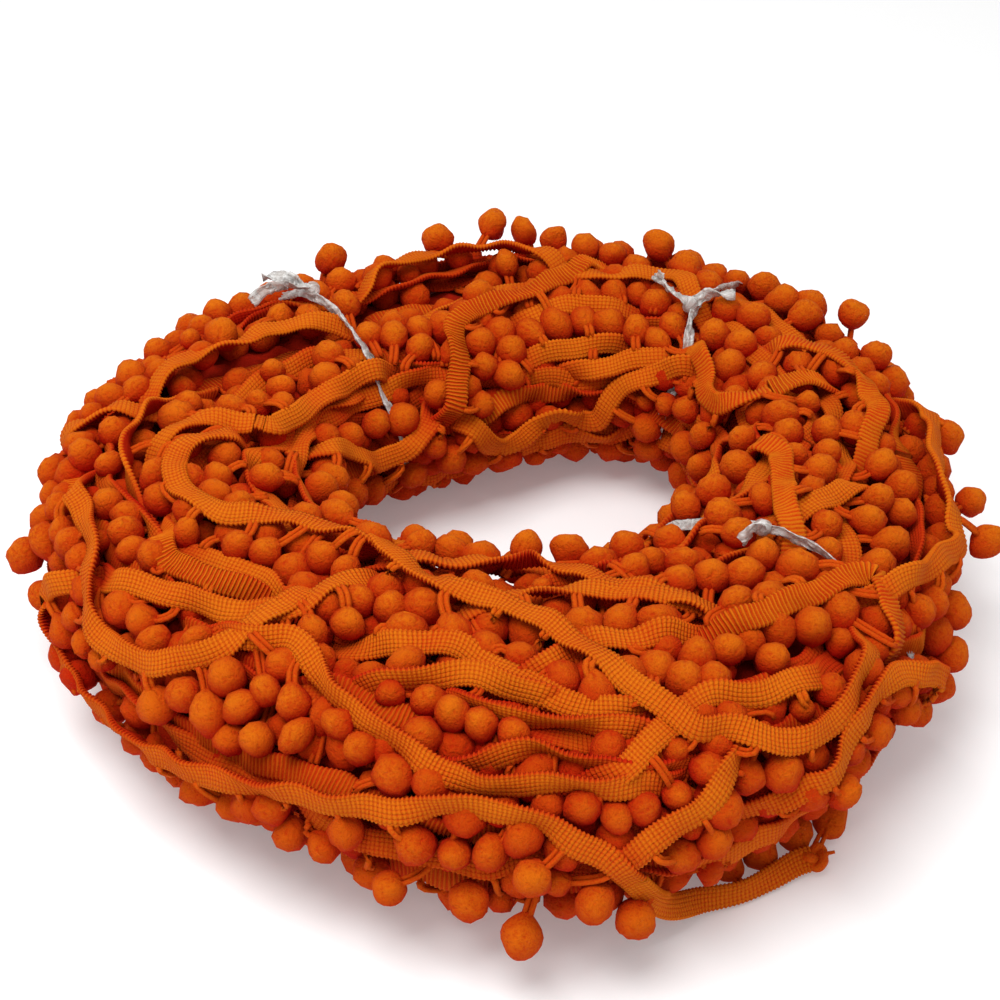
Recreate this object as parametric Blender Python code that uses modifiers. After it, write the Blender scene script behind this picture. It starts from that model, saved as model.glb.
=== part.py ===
"""Pompom fringe trim: one long woven braid with pompoms along one edge, wound by hand into
a ring and tied round in three places with strips of plastic film.

Metres, +Z up. The ring lies flat on z = 0 and the hole in its middle runs along Z.
A place on the ring is given by two angles and a lift:
  theta  round the ring, 0 at +X, 90 at the back (+Y), 270 at the front
  phi    round the bundle, 0 on the outer side, 90 on top, 180 in the hole, 270 underneath
  lift   outwards from the mean surface of the bundle
"""
import bpy
import bmesh
import numpy as np

# Ring
RING_RADIUS = 0.084
BUNDLE_HALF_WIDTH = 0.0433
BUNDLE_HEIGHT = 0.0590
SQUARENESS_ABOVE = 0.85
SQUARENESS_BELOW = 1.0
TUCK_DEPTH = 0.011
TUCK_ANGLE = np.radians(302)
TUCK_SPREAD = np.radians(19)
RING_MIDDLE = (-0.0037, -0.0106)

# Trim
BRAID_WIDTH = 0.0064
POMPOM_RADIUS = 0.0047
POMPOM_PITCH = 0.014
STALK_REACH = 0.0110
SURFACE_TURNS = 15
SURFACE_DEPTH = 0.0050
DEEP_TURNS = 9
DEEP_DEPTH = 0.0105
POMPOM_RISE = 0.0025
SEED = 11

# How tightly the trim lies
STRAND_ROOM = 0.0025
CORE_DEPTH = 0.014
SETTLING_ROUNDS = 140

# Solid form of the hank
SOLID_CORE_DEPTH = 0.0065
SOLID_BRAID_THICKNESS = 0.0026
SOLID_STALK_RADIUS = 0.0014
FOOT_DEPTH = 0.0020
FOOT_SPREAD = np.radians(24)
VOXEL = 0.0012
HANK_TRIANGLES = 9500
FOOT_SNAP = 0.0007

# Plastic film ties
FILM_WIDTH = 0.0045
FILM_THICKNESS = 0.0008
CLEARANCE = 0.0004

# Loose end
LOOSE_RADIUS = 0.0030
LOOSE_ROUTE = [
    (0.0263, -0.1338, 0.0310), (0.0312, -0.1300, 0.0210), (0.0362, -0.1238, 0.0112),
    (0.0435, -0.1172, 0.0052), (0.0535, -0.1138, 0.0040), (0.0613, -0.1094, 0.0040),
    (0.0680, -0.1048, 0.0040), (0.0723, -0.1030, 0.0040),
]

# Turns of the trim that show. fringe: the side that the pompoms hang to, 1 towards larger
# phi. tilt: degrees that the braid is rolled on its edge. lift: mm. route: (theta, phi).
TURNS = {
    "outer_turn": dict(fringe=-1, tilt=10, lift=1, route=[
        (203, 30), (200, 9), (204, -3), (212, -8), (226, 0), (236, 8), (246, 18), (256, 24),
        (264, 32), (272, 28), (278, 12), (281, 1)]),
    "front_low": dict(fringe=-1, tilt=20, lift=1, route=[
        (231, 62), (238, 69), (242, 66), (247, 58), (253, 53), (259, 46), (265, 40), (272, 42),
        (281, 39)]),
    "left_hook": dict(fringe=-1, tilt=0, lift=2, route=[
        (183, 100), (187, 90), (193, 86), (202, 87), (208, 90), (212, 95), (218, 102),
        (228, 106), (237, 107)]),
    "front_diagonal": dict(fringe=-1, tilt=0, lift=3, route=[
        (237, 107), (247, 100), (258, 97), (269, 94), (278, 86), (285, 68), (289, 55),
        (293, 51), (297, 42), (303, 36), (309, 42), (314, 48)]),
    "inner_rim_front": dict(fringe=1, tilt=0, lift=0, route=[
        (242, 108), (252, 112), (262, 120), (273, 125), (283, 115), (291, 102), (299, 92)]),
    "front_second": dict(fringe=-1, tilt=0, lift=0, route=[
        (263, 96), (271, 103), (280, 105), (289, 101), (297, 94)]),
    "right_fold": dict(fringe=1, tilt=0, lift=2, route=[
        (303, 80), (309, 77), (315, 74), (321, 69), (325, 62), (323, 53), (320, 42)]),
    "right_loop": dict(fringe=-1, tilt=0, lift=3, route=[
        (9, 39), (358, 44), (352, 41), (347, 33), (344, 28), (338, 37), (331, 47), (325, 55)]),
    "front_third": dict(fringe=-1, tilt=25, lift=0, route=[
        (273, 80), (279, 87), (285, 87), (292, 86)]),
    "front_right_low": dict(fringe=-1, tilt=-15, lift=1, route=[
        (280, 45), (285, 54), (291, 63), (298, 58), (305, 54)]),
    "right_low": dict(fringe=-1, tilt=0, lift=2, route=[
        (301, 18), (304, 22), (308, 30), (313, 34), (318, 30), (322, 18), (326, 6)]),
    "front_foot": dict(fringe=-1, tilt=0, lift=1, route=[
        (280, 12), (284, 21), (288, 27), (292, 38)]),
    "front_middle": dict(fringe=1, tilt=0, lift=0, route=[
        (252, 81), (259, 84), (266, 80), (272, 74), (278, 66), (284, 65)]),
    "front_short": dict(fringe=-1, tilt=35, lift=0, route=[
        (253, 68), (261, 75), (267, 75), (272, 71)]),
    "front_under": dict(fringe=-1, tilt=50, lift=-1, route=[
        (266, 66), (272, 63), (278, 62), (284, 57)]),
    "front_base": dict(fringe=-1, tilt=40, lift=-1, route=[
        (266, 48), (272, 54), (277, 48), (283, 44)]),
    "left_loop": dict(fringe=-1, tilt=0, lift=2, route=[
        (191, 51), (197, 54), (204, 49), (208, 39), (213, 31), (220, 33), (226, 42), (230, 55),
        (232, 68), (233, 80)]),
    "left_band": dict(fringe=-1, tilt=0, lift=1, route=[
        (210, 50), (216, 59), (222, 64), (229, 70), (234, 78), (238, 92)]),
    "left_patch": dict(fringe=-1, tilt=0, lift=0, route=[(208, 72), (214, 69), (221, 75)]),
    "top_left": dict(fringe=-1, tilt=0, lift=1, route=[
        (182, 86), (178, 93), (177, 107), (176, 119), (168, 123), (158, 126), (146, 124),
        (137, 125)]),
    "back_left": dict(fringe=-1, tilt=0, lift=1, route=[
        (165, 74), (158, 79), (151, 86), (143, 88), (136, 92)]),
    "far_left": dict(fringe=-1, tilt=0, lift=0, route=[(175, 34), (174, 50), (173, 66)]),
    "left_edge": dict(fringe=-1, tilt=50, lift=0, route=[(186, 72), (180, 73), (174, 76)]),
    "back_rim": dict(fringe=-1, tilt=0, lift=2, route=[
        (118, 73), (111, 67), (104, 64), (98, 63), (92, 66), (84, 79)]),
    "back_right": dict(fringe=-1, tilt=0, lift=2, route=[
        (80, 90), (72, 92), (64, 88), (58, 88), (53, 94)]),
    "back_crossing": dict(fringe=1, tilt=0, lift=3, route=[
        (76, 86), (80, 93), (87, 100), (95, 103), (103, 105), (109, 112), (111, 124),
        (115, 138), (122, 153)]),
    "inner_left": dict(fringe=1, tilt=40, lift=0, route=[
        (172, 146), (163, 162), (155, 173), (147, 173), (140, 168), (133, 162)]),
    "back_top": dict(fringe=-1, tilt=0, lift=0, route=[(86, 111), (78, 108), (68, 108)]),
    "back_inner": dict(fringe=-1, tilt=0, lift=-1, route=[(84, 136), (74, 134), (66, 132)]),
    "back_inner_right": dict(fringe=-1, tilt=0, lift=0, route=[(69, 148), (60, 145), (51, 135)]),
    "inner_rim_back": dict(fringe=1, tilt=0, lift=1, route=[
        (114, 166), (104, 178), (96, 184), (87, 182), (79, 175), (71, 175), (64, 182),
        (60, 171), (54, 154), (47, 144), (41, 134)]),
    "inner_foot_back": dict(fringe=1, tilt=0, lift=0, route=[(90, 192), (75, 190), (60, 194)]),
    "right_rim": dict(fringe=1, tilt=0, lift=2, route=[
        (41, 122), (32, 131), (22, 136), (16, 121), (15, 104), (16, 92)]),
    "right_back": dict(fringe=1, tilt=0, lift=2, route=[
        (28, 91), (22, 80), (16, 74), (9, 71), (2, 72)]),
    "right_top": dict(fringe=-1, tilt=0, lift=2, route=[
        (353, 109), (350, 102), (343, 98), (336, 96), (329, 91)]),
    "right_short": dict(fringe=-1, tilt=0, lift=0, route=[(332, 90), (338, 86), (343, 80)]),
}

# Pompoms that stand out of the bundle: theta, phi, lift of the pompom's middle in mm.
STRAYS = [
    (190, 6, 5), (195, -3, 2), (204, -9, 3), (208, -12, 3), (182, 39, -1), (155, 48, 1),
    (142, 46, 2), (121, 46, 7), (103, 45, 7), (94, 45, 10), (89, 48, 7), (84, 58, 5),
    (78, 67, 4), (73, 72, 3), (66, 64, 6), (59, 78, 4), (43, 60, 1), (40, 48, 2), (34, 40, 7),
    (23, 50, 4), (20, 36, 1), (11, 27, 2), (7, 24, 7), (356, 15, 8), (349, 12, 11),
    (337, 8, 2), (333, -3, 4), (328, -6, 3), (304, 8, 5), (257, -10, 5), (265, -12, 4),
    (270, -18, 10), (271, 8, 6), (277, -6, 5), (281, -16, 8), (249, -6, 1), (245, -8, 1),
    (139, 194, 1), (124, 184, 2), (96, 200, 1), (84, 208, 2), (250, 129, 1), (259, 129, 1),
    (272, 141, 4), (287, 141, 3), (302, 134, 1), (330, 134, 1),
]

# Ties: rows of (phi, theta, lift mm) once round the bundle, the knot's place, and the tails.
TIES = {
    "tie_1": dict(
        loop=[(0, 133, -4), (50, 132, -3), (74, 131, 1), (90, 131.5, 1.5), (108, 135, 1),
              (124, 138, -1), (140, 140, -4), (180, 141, -4), (230, 139, -4), (270, 136, -3),
              (310, 134, -4)],
        knot=(131, 76, 3.5),
        tails=[[(131.4, 76, 3.2), (134, 73, 5.0), (138, 71, 5.0), (141, 70, 3.0)],
               [(131, 74.5, 2.6), (133, 69, 6.0), (136, 64, 6.5)]]),
    "tie_2": dict(
        loop=[(0, 53, -4), (50, 52, -4), (84, 51, -1), (102, 50.5, 1.5), (114, 47, 1),
              (126, 43.5, -1), (142, 43, -4), (180, 44, -4), (230, 48, -4), (270, 51, -3),
              (310, 53, -4)],
        knot=(51, 101, 3.0),
        tails=[[(51.4, 101, 2.8), (55, 99, 4.0), (58, 96, 4.0), (62, 90, 3.0)],
               [(50.6, 100, 2.4), (49, 95, 4.5), (45, 90, 4.5)]]),
    "tie_3": dict(
        loop=[(0, 324, -4), (50, 324, -4), (72, 323.5, 0), (82, 324, 1.5), (92, 324, 1.5),
              (106, 323, -2), (124, 323, -4), (180, 323, -4), (230, 323, -4), (270, 324, -3),
              (310, 324, -4)],
        knot=(323, 95, 2.0),
        tails=[[(322.6, 95, 1.8), (320, 95, 3.5), (316, 96, 2.0)]]),
}

# Colours
ORANGE = (0.60, 0.13, 0.008)
FILM_GREY = (0.62, 0.60, 0.58)

rng = np.random.default_rng(SEED)


# Places on the ring

def ring_section(theta):
    """Middle radius, half width and height of the bundle at theta: it was wound by hand."""
    wave = {k: (np.cos(k * theta), np.sin(k * theta)) for k in (1, 2, 3)}
    middle = (RING_RADIUS + 0.0017 * wave[2][0] + 0.0020 * wave[2][1]
              - 0.0040 * wave[3][0] + 0.0023 * wave[3][1])
    half = (BUNDLE_HALF_WIDTH - 0.0029 * wave[1][0] - 0.0045 * wave[1][1]
            - 0.0025 * wave[2][0] - 0.0020 * wave[2][1])
    height = BUNDLE_HEIGHT - 0.0048 * wave[1][1]
    return middle, half, height


def tuck(theta):
    """How far the lower outer side is drawn in, by the loose end at the front right."""
    turn = np.angle(np.exp(1j * (theta - TUCK_ANGLE)))
    return TUCK_DEPTH * np.exp(-(turn / TUCK_SPREAD) ** 2)


def section_point(theta, phi, wider, taller):
    """Radius and height at those angles on a section grown by wider and taller."""
    middle, half, height = ring_section(theta)
    square = np.where(np.sin(phi) < 0, SQUARENESS_BELOW, SQUARENESS_ABOVE)
    across = np.sign(np.cos(phi)) * np.abs(np.cos(phi)) ** square
    upward = np.sign(np.sin(phi)) * np.abs(np.sin(phi)) ** square
    r = middle + (half + wider) * across
    r = r - tuck(theta) * np.clip(-upward, 0, None) * np.clip(across, 0, None) ** 0.5
    return r, height / 2 + (height / 2 + taller) * upward


def on_ring(theta, phi, lift):
    """Points at those angles, in radians, and that lift."""
    r, z = section_point(theta, phi, lift, lift)
    return np.stack([r * np.cos(theta), r * np.sin(theta), z], -1)


def ring_place(points):
    """Outward direction and lift of points near the bundle."""
    theta = np.arctan2(points[:, 1], points[:, 0])
    middle, half, height = ring_section(theta)
    centre = np.stack([middle * np.cos(theta), middle * np.sin(theta), height / 2], -1)
    offset = points - centre
    across = (np.hypot(points[:, 0], points[:, 1]) - middle) / half
    upward = offset[:, 2] / (height / 2)
    drawn = np.clip(-upward, 0, 1) * np.clip(across, 0, 1) ** 0.5
    across = across + tuck(theta) / half * drawn
    power = 2 / np.where(upward < 0, SQUARENESS_BELOW, SQUARENESS_ABOVE)
    level = (np.abs(across) ** power + np.abs(upward) ** power) ** (1 / power) + 1e-9
    distance = np.linalg.norm(offset, axis=1) + 1e-9
    return offset / distance[:, None], distance * (1 - 1 / level)


def fringe_sense(points, side):
    """1 where side points towards larger phi, -1 where it points towards smaller phi."""
    theta = np.arctan2(points[:, 1], points[:, 0])
    middle, _, height = ring_section(theta)
    r = np.hypot(points[:, 0], points[:, 1]) - middle
    z = points[:, 2] - height / 2
    growing = np.stack([-z * np.cos(theta), -z * np.sin(theta), r], -1)
    return np.where((side * growing).sum(1) >= 0, 1.0, -1.0)


# Strands

def resample(points, step, closed=False):
    """Points at even steps along a polyline."""
    if closed:
        points = np.vstack([points, points[:1]])
    along = np.concatenate([[0], np.cumsum(np.linalg.norm(np.diff(points, axis=0), axis=1))])
    count = max(3, int(round(along[-1] / step)))
    wanted = np.linspace(0, along[-1], count + 1)
    wanted = wanted[:-1] if closed else wanted
    return np.stack([np.interp(wanted, along, points[:, k]) for k in range(3)], -1)


def smooth_path(stations, step):
    """Catmull-Rom curve through the stations, at even steps."""
    p = np.asarray(stations, float)
    p = np.vstack([2 * p[0] - p[1], p, 2 * p[-1] - p[-2]])
    t = np.linspace(0, 1, 24, endpoint=False)[:, None]
    parts = []
    for a, b, c, d in zip(p[:-3], p[1:-2], p[2:-1], p[3:]):
        bend = (2 * a - 5 * b + 4 * c - d) * t ** 2 + (3 * b - a - 3 * c + d) * t ** 3
        parts.append(0.5 * (2 * b + (c - a) * t + bend))
    return resample(np.vstack(parts + [p[-2:-1]]), step)


def turn_path(route, lift, step, dives=(True, True)):
    """A turn that shows: it comes up out of the bundle, runs along its route and dives in."""
    angles = np.radians(np.array(route, float))
    angles[:, 0] = np.unwrap(angles[:, 0])
    lifts = [lift * 0.001] * len(route)
    reach = np.array([RING_RADIUS, BUNDLE_HALF_WIDTH])
    for end, dives_in in ((0, dives[0]), (-1, dives[1])):
        if not dives_in:
            continue
        away = angles[end] - angles[1 if end == 0 else -2]
        away = away / np.linalg.norm(away * reach)
        near, far = angles[end] + away * 0.010, angles[end] + away * 0.022
        if end == 0:
            angles = np.vstack([far, near, angles])
            lifts = [-0.012, -0.006] + lifts
        else:
            angles = np.vstack([angles, near, far])
            lifts = lifts + [-0.006, -0.012]
    return smooth_path(on_ring(angles[:, 0], angles[:, 1], np.array(lifts)), step)


def wound_strands():
    """Every stretch of trim: the turns that show, and closed turns that fill the bundle."""
    step = POMPOM_PITCH / 2
    strands = []
    for name, turn in TURNS.items():
        dives = (True, name != "outer_turn")
        points = turn_path(turn["route"], turn["lift"], step, dives)
        strands.append(dict(name=name, points=points, fringe=turn["fringe"],
                            tilt=np.radians(turn["tilt"]), closed=False, home=0.0))
    theta = np.linspace(0, 2 * np.pi, 240, endpoint=False)
    layers = [("surface", SURFACE_TURNS, SURFACE_DEPTH), ("deep", DEEP_TURNS, DEEP_DEPTH)]
    for layer, turns, depth in layers:
        for k in range(turns):
            phi = 2 * np.pi * (k + rng.uniform(-0.3, 0.3)) / turns
            for m in (1, 2, 3, 5, 8):
                swing = rng.uniform(0.06, 0.2) / m ** 0.5
                phi = phi + swing * np.sin(m * theta + rng.uniform(0, 2 * np.pi))
            points = resample(on_ring(theta, phi, -depth), step, closed=True)
            strands.append(dict(name=f"{layer}_{k + 1:02d}", points=points, tilt=0.0,
                                closed=True, fringe=int(rng.choice([-1, 1])), home=-depth))
    return strands


def frames(points, closed):
    """Tangent, sideways and outward directions along a strand."""
    if closed:
        tangent = np.roll(points, -1, 0) - np.roll(points, 1, 0)
    else:
        tangent = np.gradient(points, axis=0)
    tangent = tangent / np.linalg.norm(tangent, axis=1, keepdims=True)
    outward, _ = ring_place(points)
    outward = outward - (outward * tangent).sum(1, keepdims=True) * tangent
    outward = outward / np.linalg.norm(outward, axis=1, keepdims=True)
    return tangent, np.cross(outward, tangent), outward


def hang_pompoms(strands):
    """A pompom on a short stalk at every second point of each strand."""
    first = np.concatenate([[0], np.cumsum([len(s["points"]) for s in strands])])
    owners, middles = [], []
    for start, s in zip(first, strands):
        tangent, side, outward = frames(s["points"], s["closed"])
        index = np.arange(1, len(s["points"]) - (0 if s["closed"] else 1), 2)
        droop = rng.uniform(-1.2, 0.8, len(index))[:, None]
        sense = fringe_sense(s["points"], side)[index, None] * s["fringe"]
        lean = rng.uniform(-0.7, 0.7, (len(index), 1))
        aim = side[index] * sense * np.cos(droop) + outward[index] * np.sin(droop)
        aim = aim + tangent[index] * lean
        aim = aim / np.linalg.norm(aim, axis=1, keepdims=True)
        owners.append(start + index)
        middles.append(s["points"][index] + aim * STALK_REACH)
    return first, np.concatenate(owners), np.vstack(middles)


def tie_rows(rows, step):
    """A tie's smooth closed loop through its rows of (phi, theta, lift)."""
    rows = np.array(rows + [(rows[0][0] + 360, rows[0][1], rows[0][2])], float)
    phi = np.linspace(0, 360, 180, endpoint=False)
    theta = np.interp(phi, rows[:, 0], rows[:, 1])
    lift = np.interp(phi, rows[:, 0], rows[:, 2])
    kernel = np.ones(9) / 9
    theta = np.convolve(np.concatenate([theta[-4:], theta, theta[:4]]), kernel, "valid")
    lift = np.convolve(np.concatenate([lift[-4:], lift, lift[:4]]), kernel, "valid")
    points = on_ring(np.radians(theta), np.radians(phi), lift * 0.001)
    return resample(points, step, closed=True), lift


def kept_clear():
    """Points that the trim keeps off: the ties where they show, and the loose end."""
    places = [smooth_path(LOOSE_ROUTE, 0.004)]
    for tie in TIES.values():
        places.append(on_ring(*np.radians([[tie["knot"][0]], [tie["knot"][1]]]),
                              tie["knot"][2] * 0.001))
        shows = [(t, p, lift) for p, t, lift in tie["loop"] if lift > -2]
        for run in [shows] + tie["tails"]:
            run = np.array(run, float)
            points = on_ring(np.radians(run[:, 0]), np.radians(run[:, 1]), run[:, 2] * 0.001)
            places.append(smooth_path(points, 0.003))
    return np.vstack(places)


def settle(strands):
    """Pushes strands and pompoms apart until they only touch.

    Turns that show and stray pompoms stay where they are. The rest give way, held by their
    own length, by the core under them and by the mean surface of the bundle.
    """
    first, owner, pompoms = hang_pompoms(strands)
    nodes = np.vstack([s["points"] for s in strands])
    strand = np.concatenate([np.full(len(s["points"]), i) for i, s in enumerate(strands)])
    place = np.concatenate([np.arange(len(s["points"])) for s in strands])
    length = np.array([len(s["points"]) for s in strands])
    fixed = kept_clear()
    size = POMPOM_RADIUS * rng.uniform(0.88, 1.12, len(pompoms))
    reach = STALK_REACH * rng.uniform(0.8, 1.25, len(pompoms))
    n, m = len(nodes), len(pompoms)
    home = np.concatenate([np.full(len(s["points"]), s["home"]) for s in strands])
    hang = np.where(home[owner] < 0, POMPOM_RISE, 0.0) - rng.uniform(0.0, 0.003, m)
    home = np.concatenate([home, home[owner] + hang, np.zeros(len(fixed))])

    loose = np.concatenate([np.full(len(s["points"]), float(s["closed"])) for s in strands])
    weight = np.concatenate([loose, np.ones(m), np.zeros(len(fixed))])
    radius = np.concatenate([np.full(n, STRAND_ROOM), size * 0.95,
                             np.full(len(fixed), STRAND_ROOM)])

    stray = np.array(STRAYS, float)
    spots = on_ring(np.radians(stray[:, 0]), np.radians(stray[:, 1]), stray[:, 2] * 0.001 - 0.003)
    spots[:, 2] = np.maximum(spots[:, 2], POMPOM_RADIUS * 1.08)
    taken = np.zeros(m, bool)
    for spot in spots:
        far = np.linalg.norm(nodes[owner] - spot, axis=1)
        far = far + 0.5 * np.linalg.norm(pompoms - spot, axis=1) + taken
        k = int(np.argmin(far))
        taken[k] = True
        pompoms[k] = spot
        weight[n + k] = 0
        reach[k] = np.linalg.norm(nodes[owner[k]] - spot)

    p = np.vstack([nodes, pompoms, fixed])
    links = []
    for i, s in enumerate(strands):
        if s["closed"]:
            run = np.arange(first[i], first[i + 1])
            links.append(np.stack([run, np.roll(run, -1)], 1))
    links = np.vstack(links)
    rest = np.linalg.norm(p[links[:, 0]] - p[links[:, 1]], axis=1)
    balls = n + np.arange(m)

    for turn in range(SETTLING_ROUNDS):
        if turn % 8 == 0:
            i, j = near_pairs(p, radius, weight, n, m, strand, place, length, owner)
        move = np.zeros_like(p)
        count = np.zeros(len(p))

        def push(a, b, vector, share_a, share_b):
            for k in range(3):
                move[:, k] += np.bincount(a, vector[:, k] * share_a, len(p))
                move[:, k] -= np.bincount(b, vector[:, k] * share_b, len(p))
            count[:] += np.bincount(a, minlength=len(p)) + np.bincount(b, minlength=len(p))

        gap = p[i] - p[j]
        distance = np.linalg.norm(gap, axis=1) + 1e-9
        overlap = radius[i] + radius[j] - distance
        hit = overlap > 0
        a, b = i[hit], j[hit]
        total = weight[a] + weight[b]
        push(a, b, gap[hit] * (overlap[hit] / distance[hit])[:, None],
             weight[a] / total, weight[b] / total)

        a, b = links.T
        gap = p[b] - p[a]
        distance = np.linalg.norm(gap, axis=1) + 1e-9
        push(a, b, gap * ((distance - rest) / distance)[:, None], 0.5, 0.5)

        gap = p[balls] - p[owner]
        distance = np.linalg.norm(gap, axis=1) + 1e-9
        pull = distance - reach
        pull = np.where(pull > 0, pull, pull * 0.3)
        share_a, share_b = weight[owner] * 0.15, weight[balls]
        total = share_a + share_b + 1e-9
        push(owner, balls, gap * (pull / distance)[:, None], share_a / total, share_b / total)

        p = p + move / np.maximum(count, 1)[:, None] * 1.3
        outward, lift = ring_place(p)
        ceiling = np.where(np.arange(len(p)) < n, -0.0035, -0.0022)
        inward = 0.03 * (lift - home) + 0.5 * np.clip(lift - ceiling, 0, None)
        inward = inward - np.clip(radius - CORE_DEPTH - lift, 0, None)
        p = p - outward * (weight * inward)[:, None]
        p[:, 2] = np.where(weight > 0, np.maximum(p[:, 2], radius), p[:, 2])

    for k, s in enumerate(strands):
        s["points"] = p[first[k]:first[k + 1]]
    return strands, p[n:n + m], size, p[owner]


def near_pairs(p, radius, weight, n, m, strand, place, length, owner):
    """Pairs of points that may touch, without neighbours on one strand or one stalk."""
    square = (p ** 2).sum(1)
    distance2 = square[:, None] + square[None] - 2 * p @ p.T
    reach = radius[:, None] + radius[None] + 0.002
    i, j = np.nonzero(np.triu(distance2 < reach ** 2, 1))
    on_strand = j < n
    same = np.zeros(len(i), bool)
    si, sj = i[on_strand], j[on_strand]
    apart = np.abs(place[si] - place[sj])
    apart = np.minimum(apart, length[strand[si]] - apart)
    same[on_strand] = (strand[si] == strand[sj]) & (apart <= 2)
    ball = (j >= n) & (j < n + m) & (i < n)
    own = np.zeros(len(i), bool)
    own[ball] = np.abs(owner[j[ball] - n] - i[ball]) <= 1
    keep = ~same & ~own & (weight[i] + weight[j] > 0)
    return i[keep], j[keep]


# Solids

def clear_scene():
    for thing in list(bpy.data.objects):
        bpy.data.objects.remove(thing, do_unlink=True)


def material(name, colour, roughness):
    made = bpy.data.materials.new(name)
    made.use_nodes = True
    shader = made.node_tree.nodes["Principled BSDF"]
    shader.inputs["Base Color"].default_value = (*colour, 1.0)
    shader.inputs["Roughness"].default_value = roughness
    return made


def mesh_object(name, points, faces, collection):
    """An object from points and a list of faces."""
    mesh = bpy.data.meshes.new(name)
    mesh.from_pydata([tuple(q) for q in points], [], [tuple(f) for f in faces])
    mesh.validate()
    thing = bpy.data.objects.new(name, mesh)
    collection.objects.link(thing)
    outward_faces(thing)
    return thing


def outward_faces(thing):
    """Closes the seams and turns every face outwards."""
    body = bmesh.new()
    body.from_mesh(thing.data)
    bmesh.ops.remove_doubles(body, verts=body.verts, dist=0.00001)
    bmesh.ops.recalc_face_normals(body, faces=body.faces)
    body.to_mesh(thing.data)
    body.free()


def swept(rows, closed):
    """Points and faces of a body swept through rows of points, each row one section."""
    rows = np.asarray(rows)
    count, around = rows.shape[:2]
    grid = np.arange(count * around).reshape(count, around)
    ends = grid if not closed else np.vstack([grid, grid[:1]])
    faces = []
    for low, high in zip(ends[:-1], ends[1:]):
        for k in range(around):
            k2 = (k + 1) % around
            faces.append((low[k], low[k2], high[k2], high[k]))
    if not closed:
        faces.append(tuple(grid[0][::-1]))
        faces.append(tuple(grid[-1]))
    return rows.reshape(-1, 3), faces


def band_rows(points, closed, width, thickness, tilt=0.0):
    """Oblong sections along a path, flat against the bundle."""
    _, side, outward = frames(points, closed)
    across = side * np.cos(tilt) + outward * np.sin(tilt)
    up = outward * np.cos(tilt) - side * np.sin(tilt)
    corners = [(-1, -1), (1, -1), (1, 1), (-1, 1)]
    rows = [points + across * (a * width / 2) + up * (b * thickness / 2) for a, b in corners]
    return np.stack(rows, 1)


def tube_rows(points, radius, around=6):
    """Round sections along an open path."""
    tangent = np.gradient(points, axis=0)
    tangent = tangent / np.linalg.norm(tangent, axis=1, keepdims=True)
    helper = np.where(np.abs(tangent[:, 2:]) < 0.9, [[0, 0, 1.0]], [[1.0, 0, 0]])
    side = np.cross(helper, tangent)
    side = side / np.linalg.norm(side, axis=1, keepdims=True)
    up = np.cross(tangent, side)
    turn = 2 * np.pi * np.arange(around) / around
    return np.stack([points + radius * (side * np.cos(t) + up * np.sin(t)) for t in turn], 1)


def ball_points(divisions):
    """Points and triangles of a unit ball."""
    body = bmesh.new()
    bmesh.ops.create_icosphere(body, subdivisions=divisions, radius=1.0)
    body.verts.ensure_lookup_table()
    points = np.array([v.co[:] for v in body.verts])
    faces = [tuple(v.index for v in f.verts) for f in body.faces]
    body.free()
    return points, faces


def core_rows():
    """The packed inside of the bundle, drawn down to the narrow flat that it rests on."""
    theta = np.linspace(0, 2 * np.pi, 96, endpoint=False)
    rows = []
    for phi in np.linspace(0, 2 * np.pi, 32, endpoint=False):
        from_below = np.angle(np.exp(1j * (phi - 1.5 * np.pi)))
        foot = np.exp(-(from_below / FOOT_SPREAD) ** 2)
        taller = (SOLID_CORE_DEPTH + FOOT_DEPTH) * foot - SOLID_CORE_DEPTH
        r, z = section_point(theta, phi, -SOLID_CORE_DEPTH, taller)
        z = np.maximum(z, 0.0)
        rows.append(np.stack([r * np.cos(theta), r * np.sin(theta), z], -1))
    return np.stack(rows, 1)


def largest_piece(thing):
    """Drops loose scraps and sealed hollows, leaving the one outer skin."""
    body = bmesh.new()
    body.from_mesh(thing.data)
    body.verts.ensure_lookup_table()
    seen = np.zeros(len(body.verts), bool)
    pieces = []
    for start in body.verts:
        if seen[start.index]:
            continue
        seen[start.index] = True
        piece, queue = [], [start]
        while queue:
            v = queue.pop()
            piece.append(v)
            for edge in v.link_edges:
                w = edge.other_vert(v)
                if not seen[w.index]:
                    seen[w.index] = True
                    queue.append(w)
        pieces.append(piece)
    pieces.sort(key=len, reverse=True)
    spare = [v for piece in pieces[1:] for v in piece]
    bmesh.ops.delete(body, geom=spare, context="VERTS")
    body.to_mesh(thing.data)
    body.free()
    return len(pieces)


def apply_modifiers(thing):
    """Replaces an object's mesh by what its modifiers make of it."""
    view = bpy.context.evaluated_depsgraph_get()
    mesh = bpy.data.meshes.new_from_object(thing.evaluated_get(view))
    thing.modifiers.clear()
    thing.data = mesh


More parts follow.
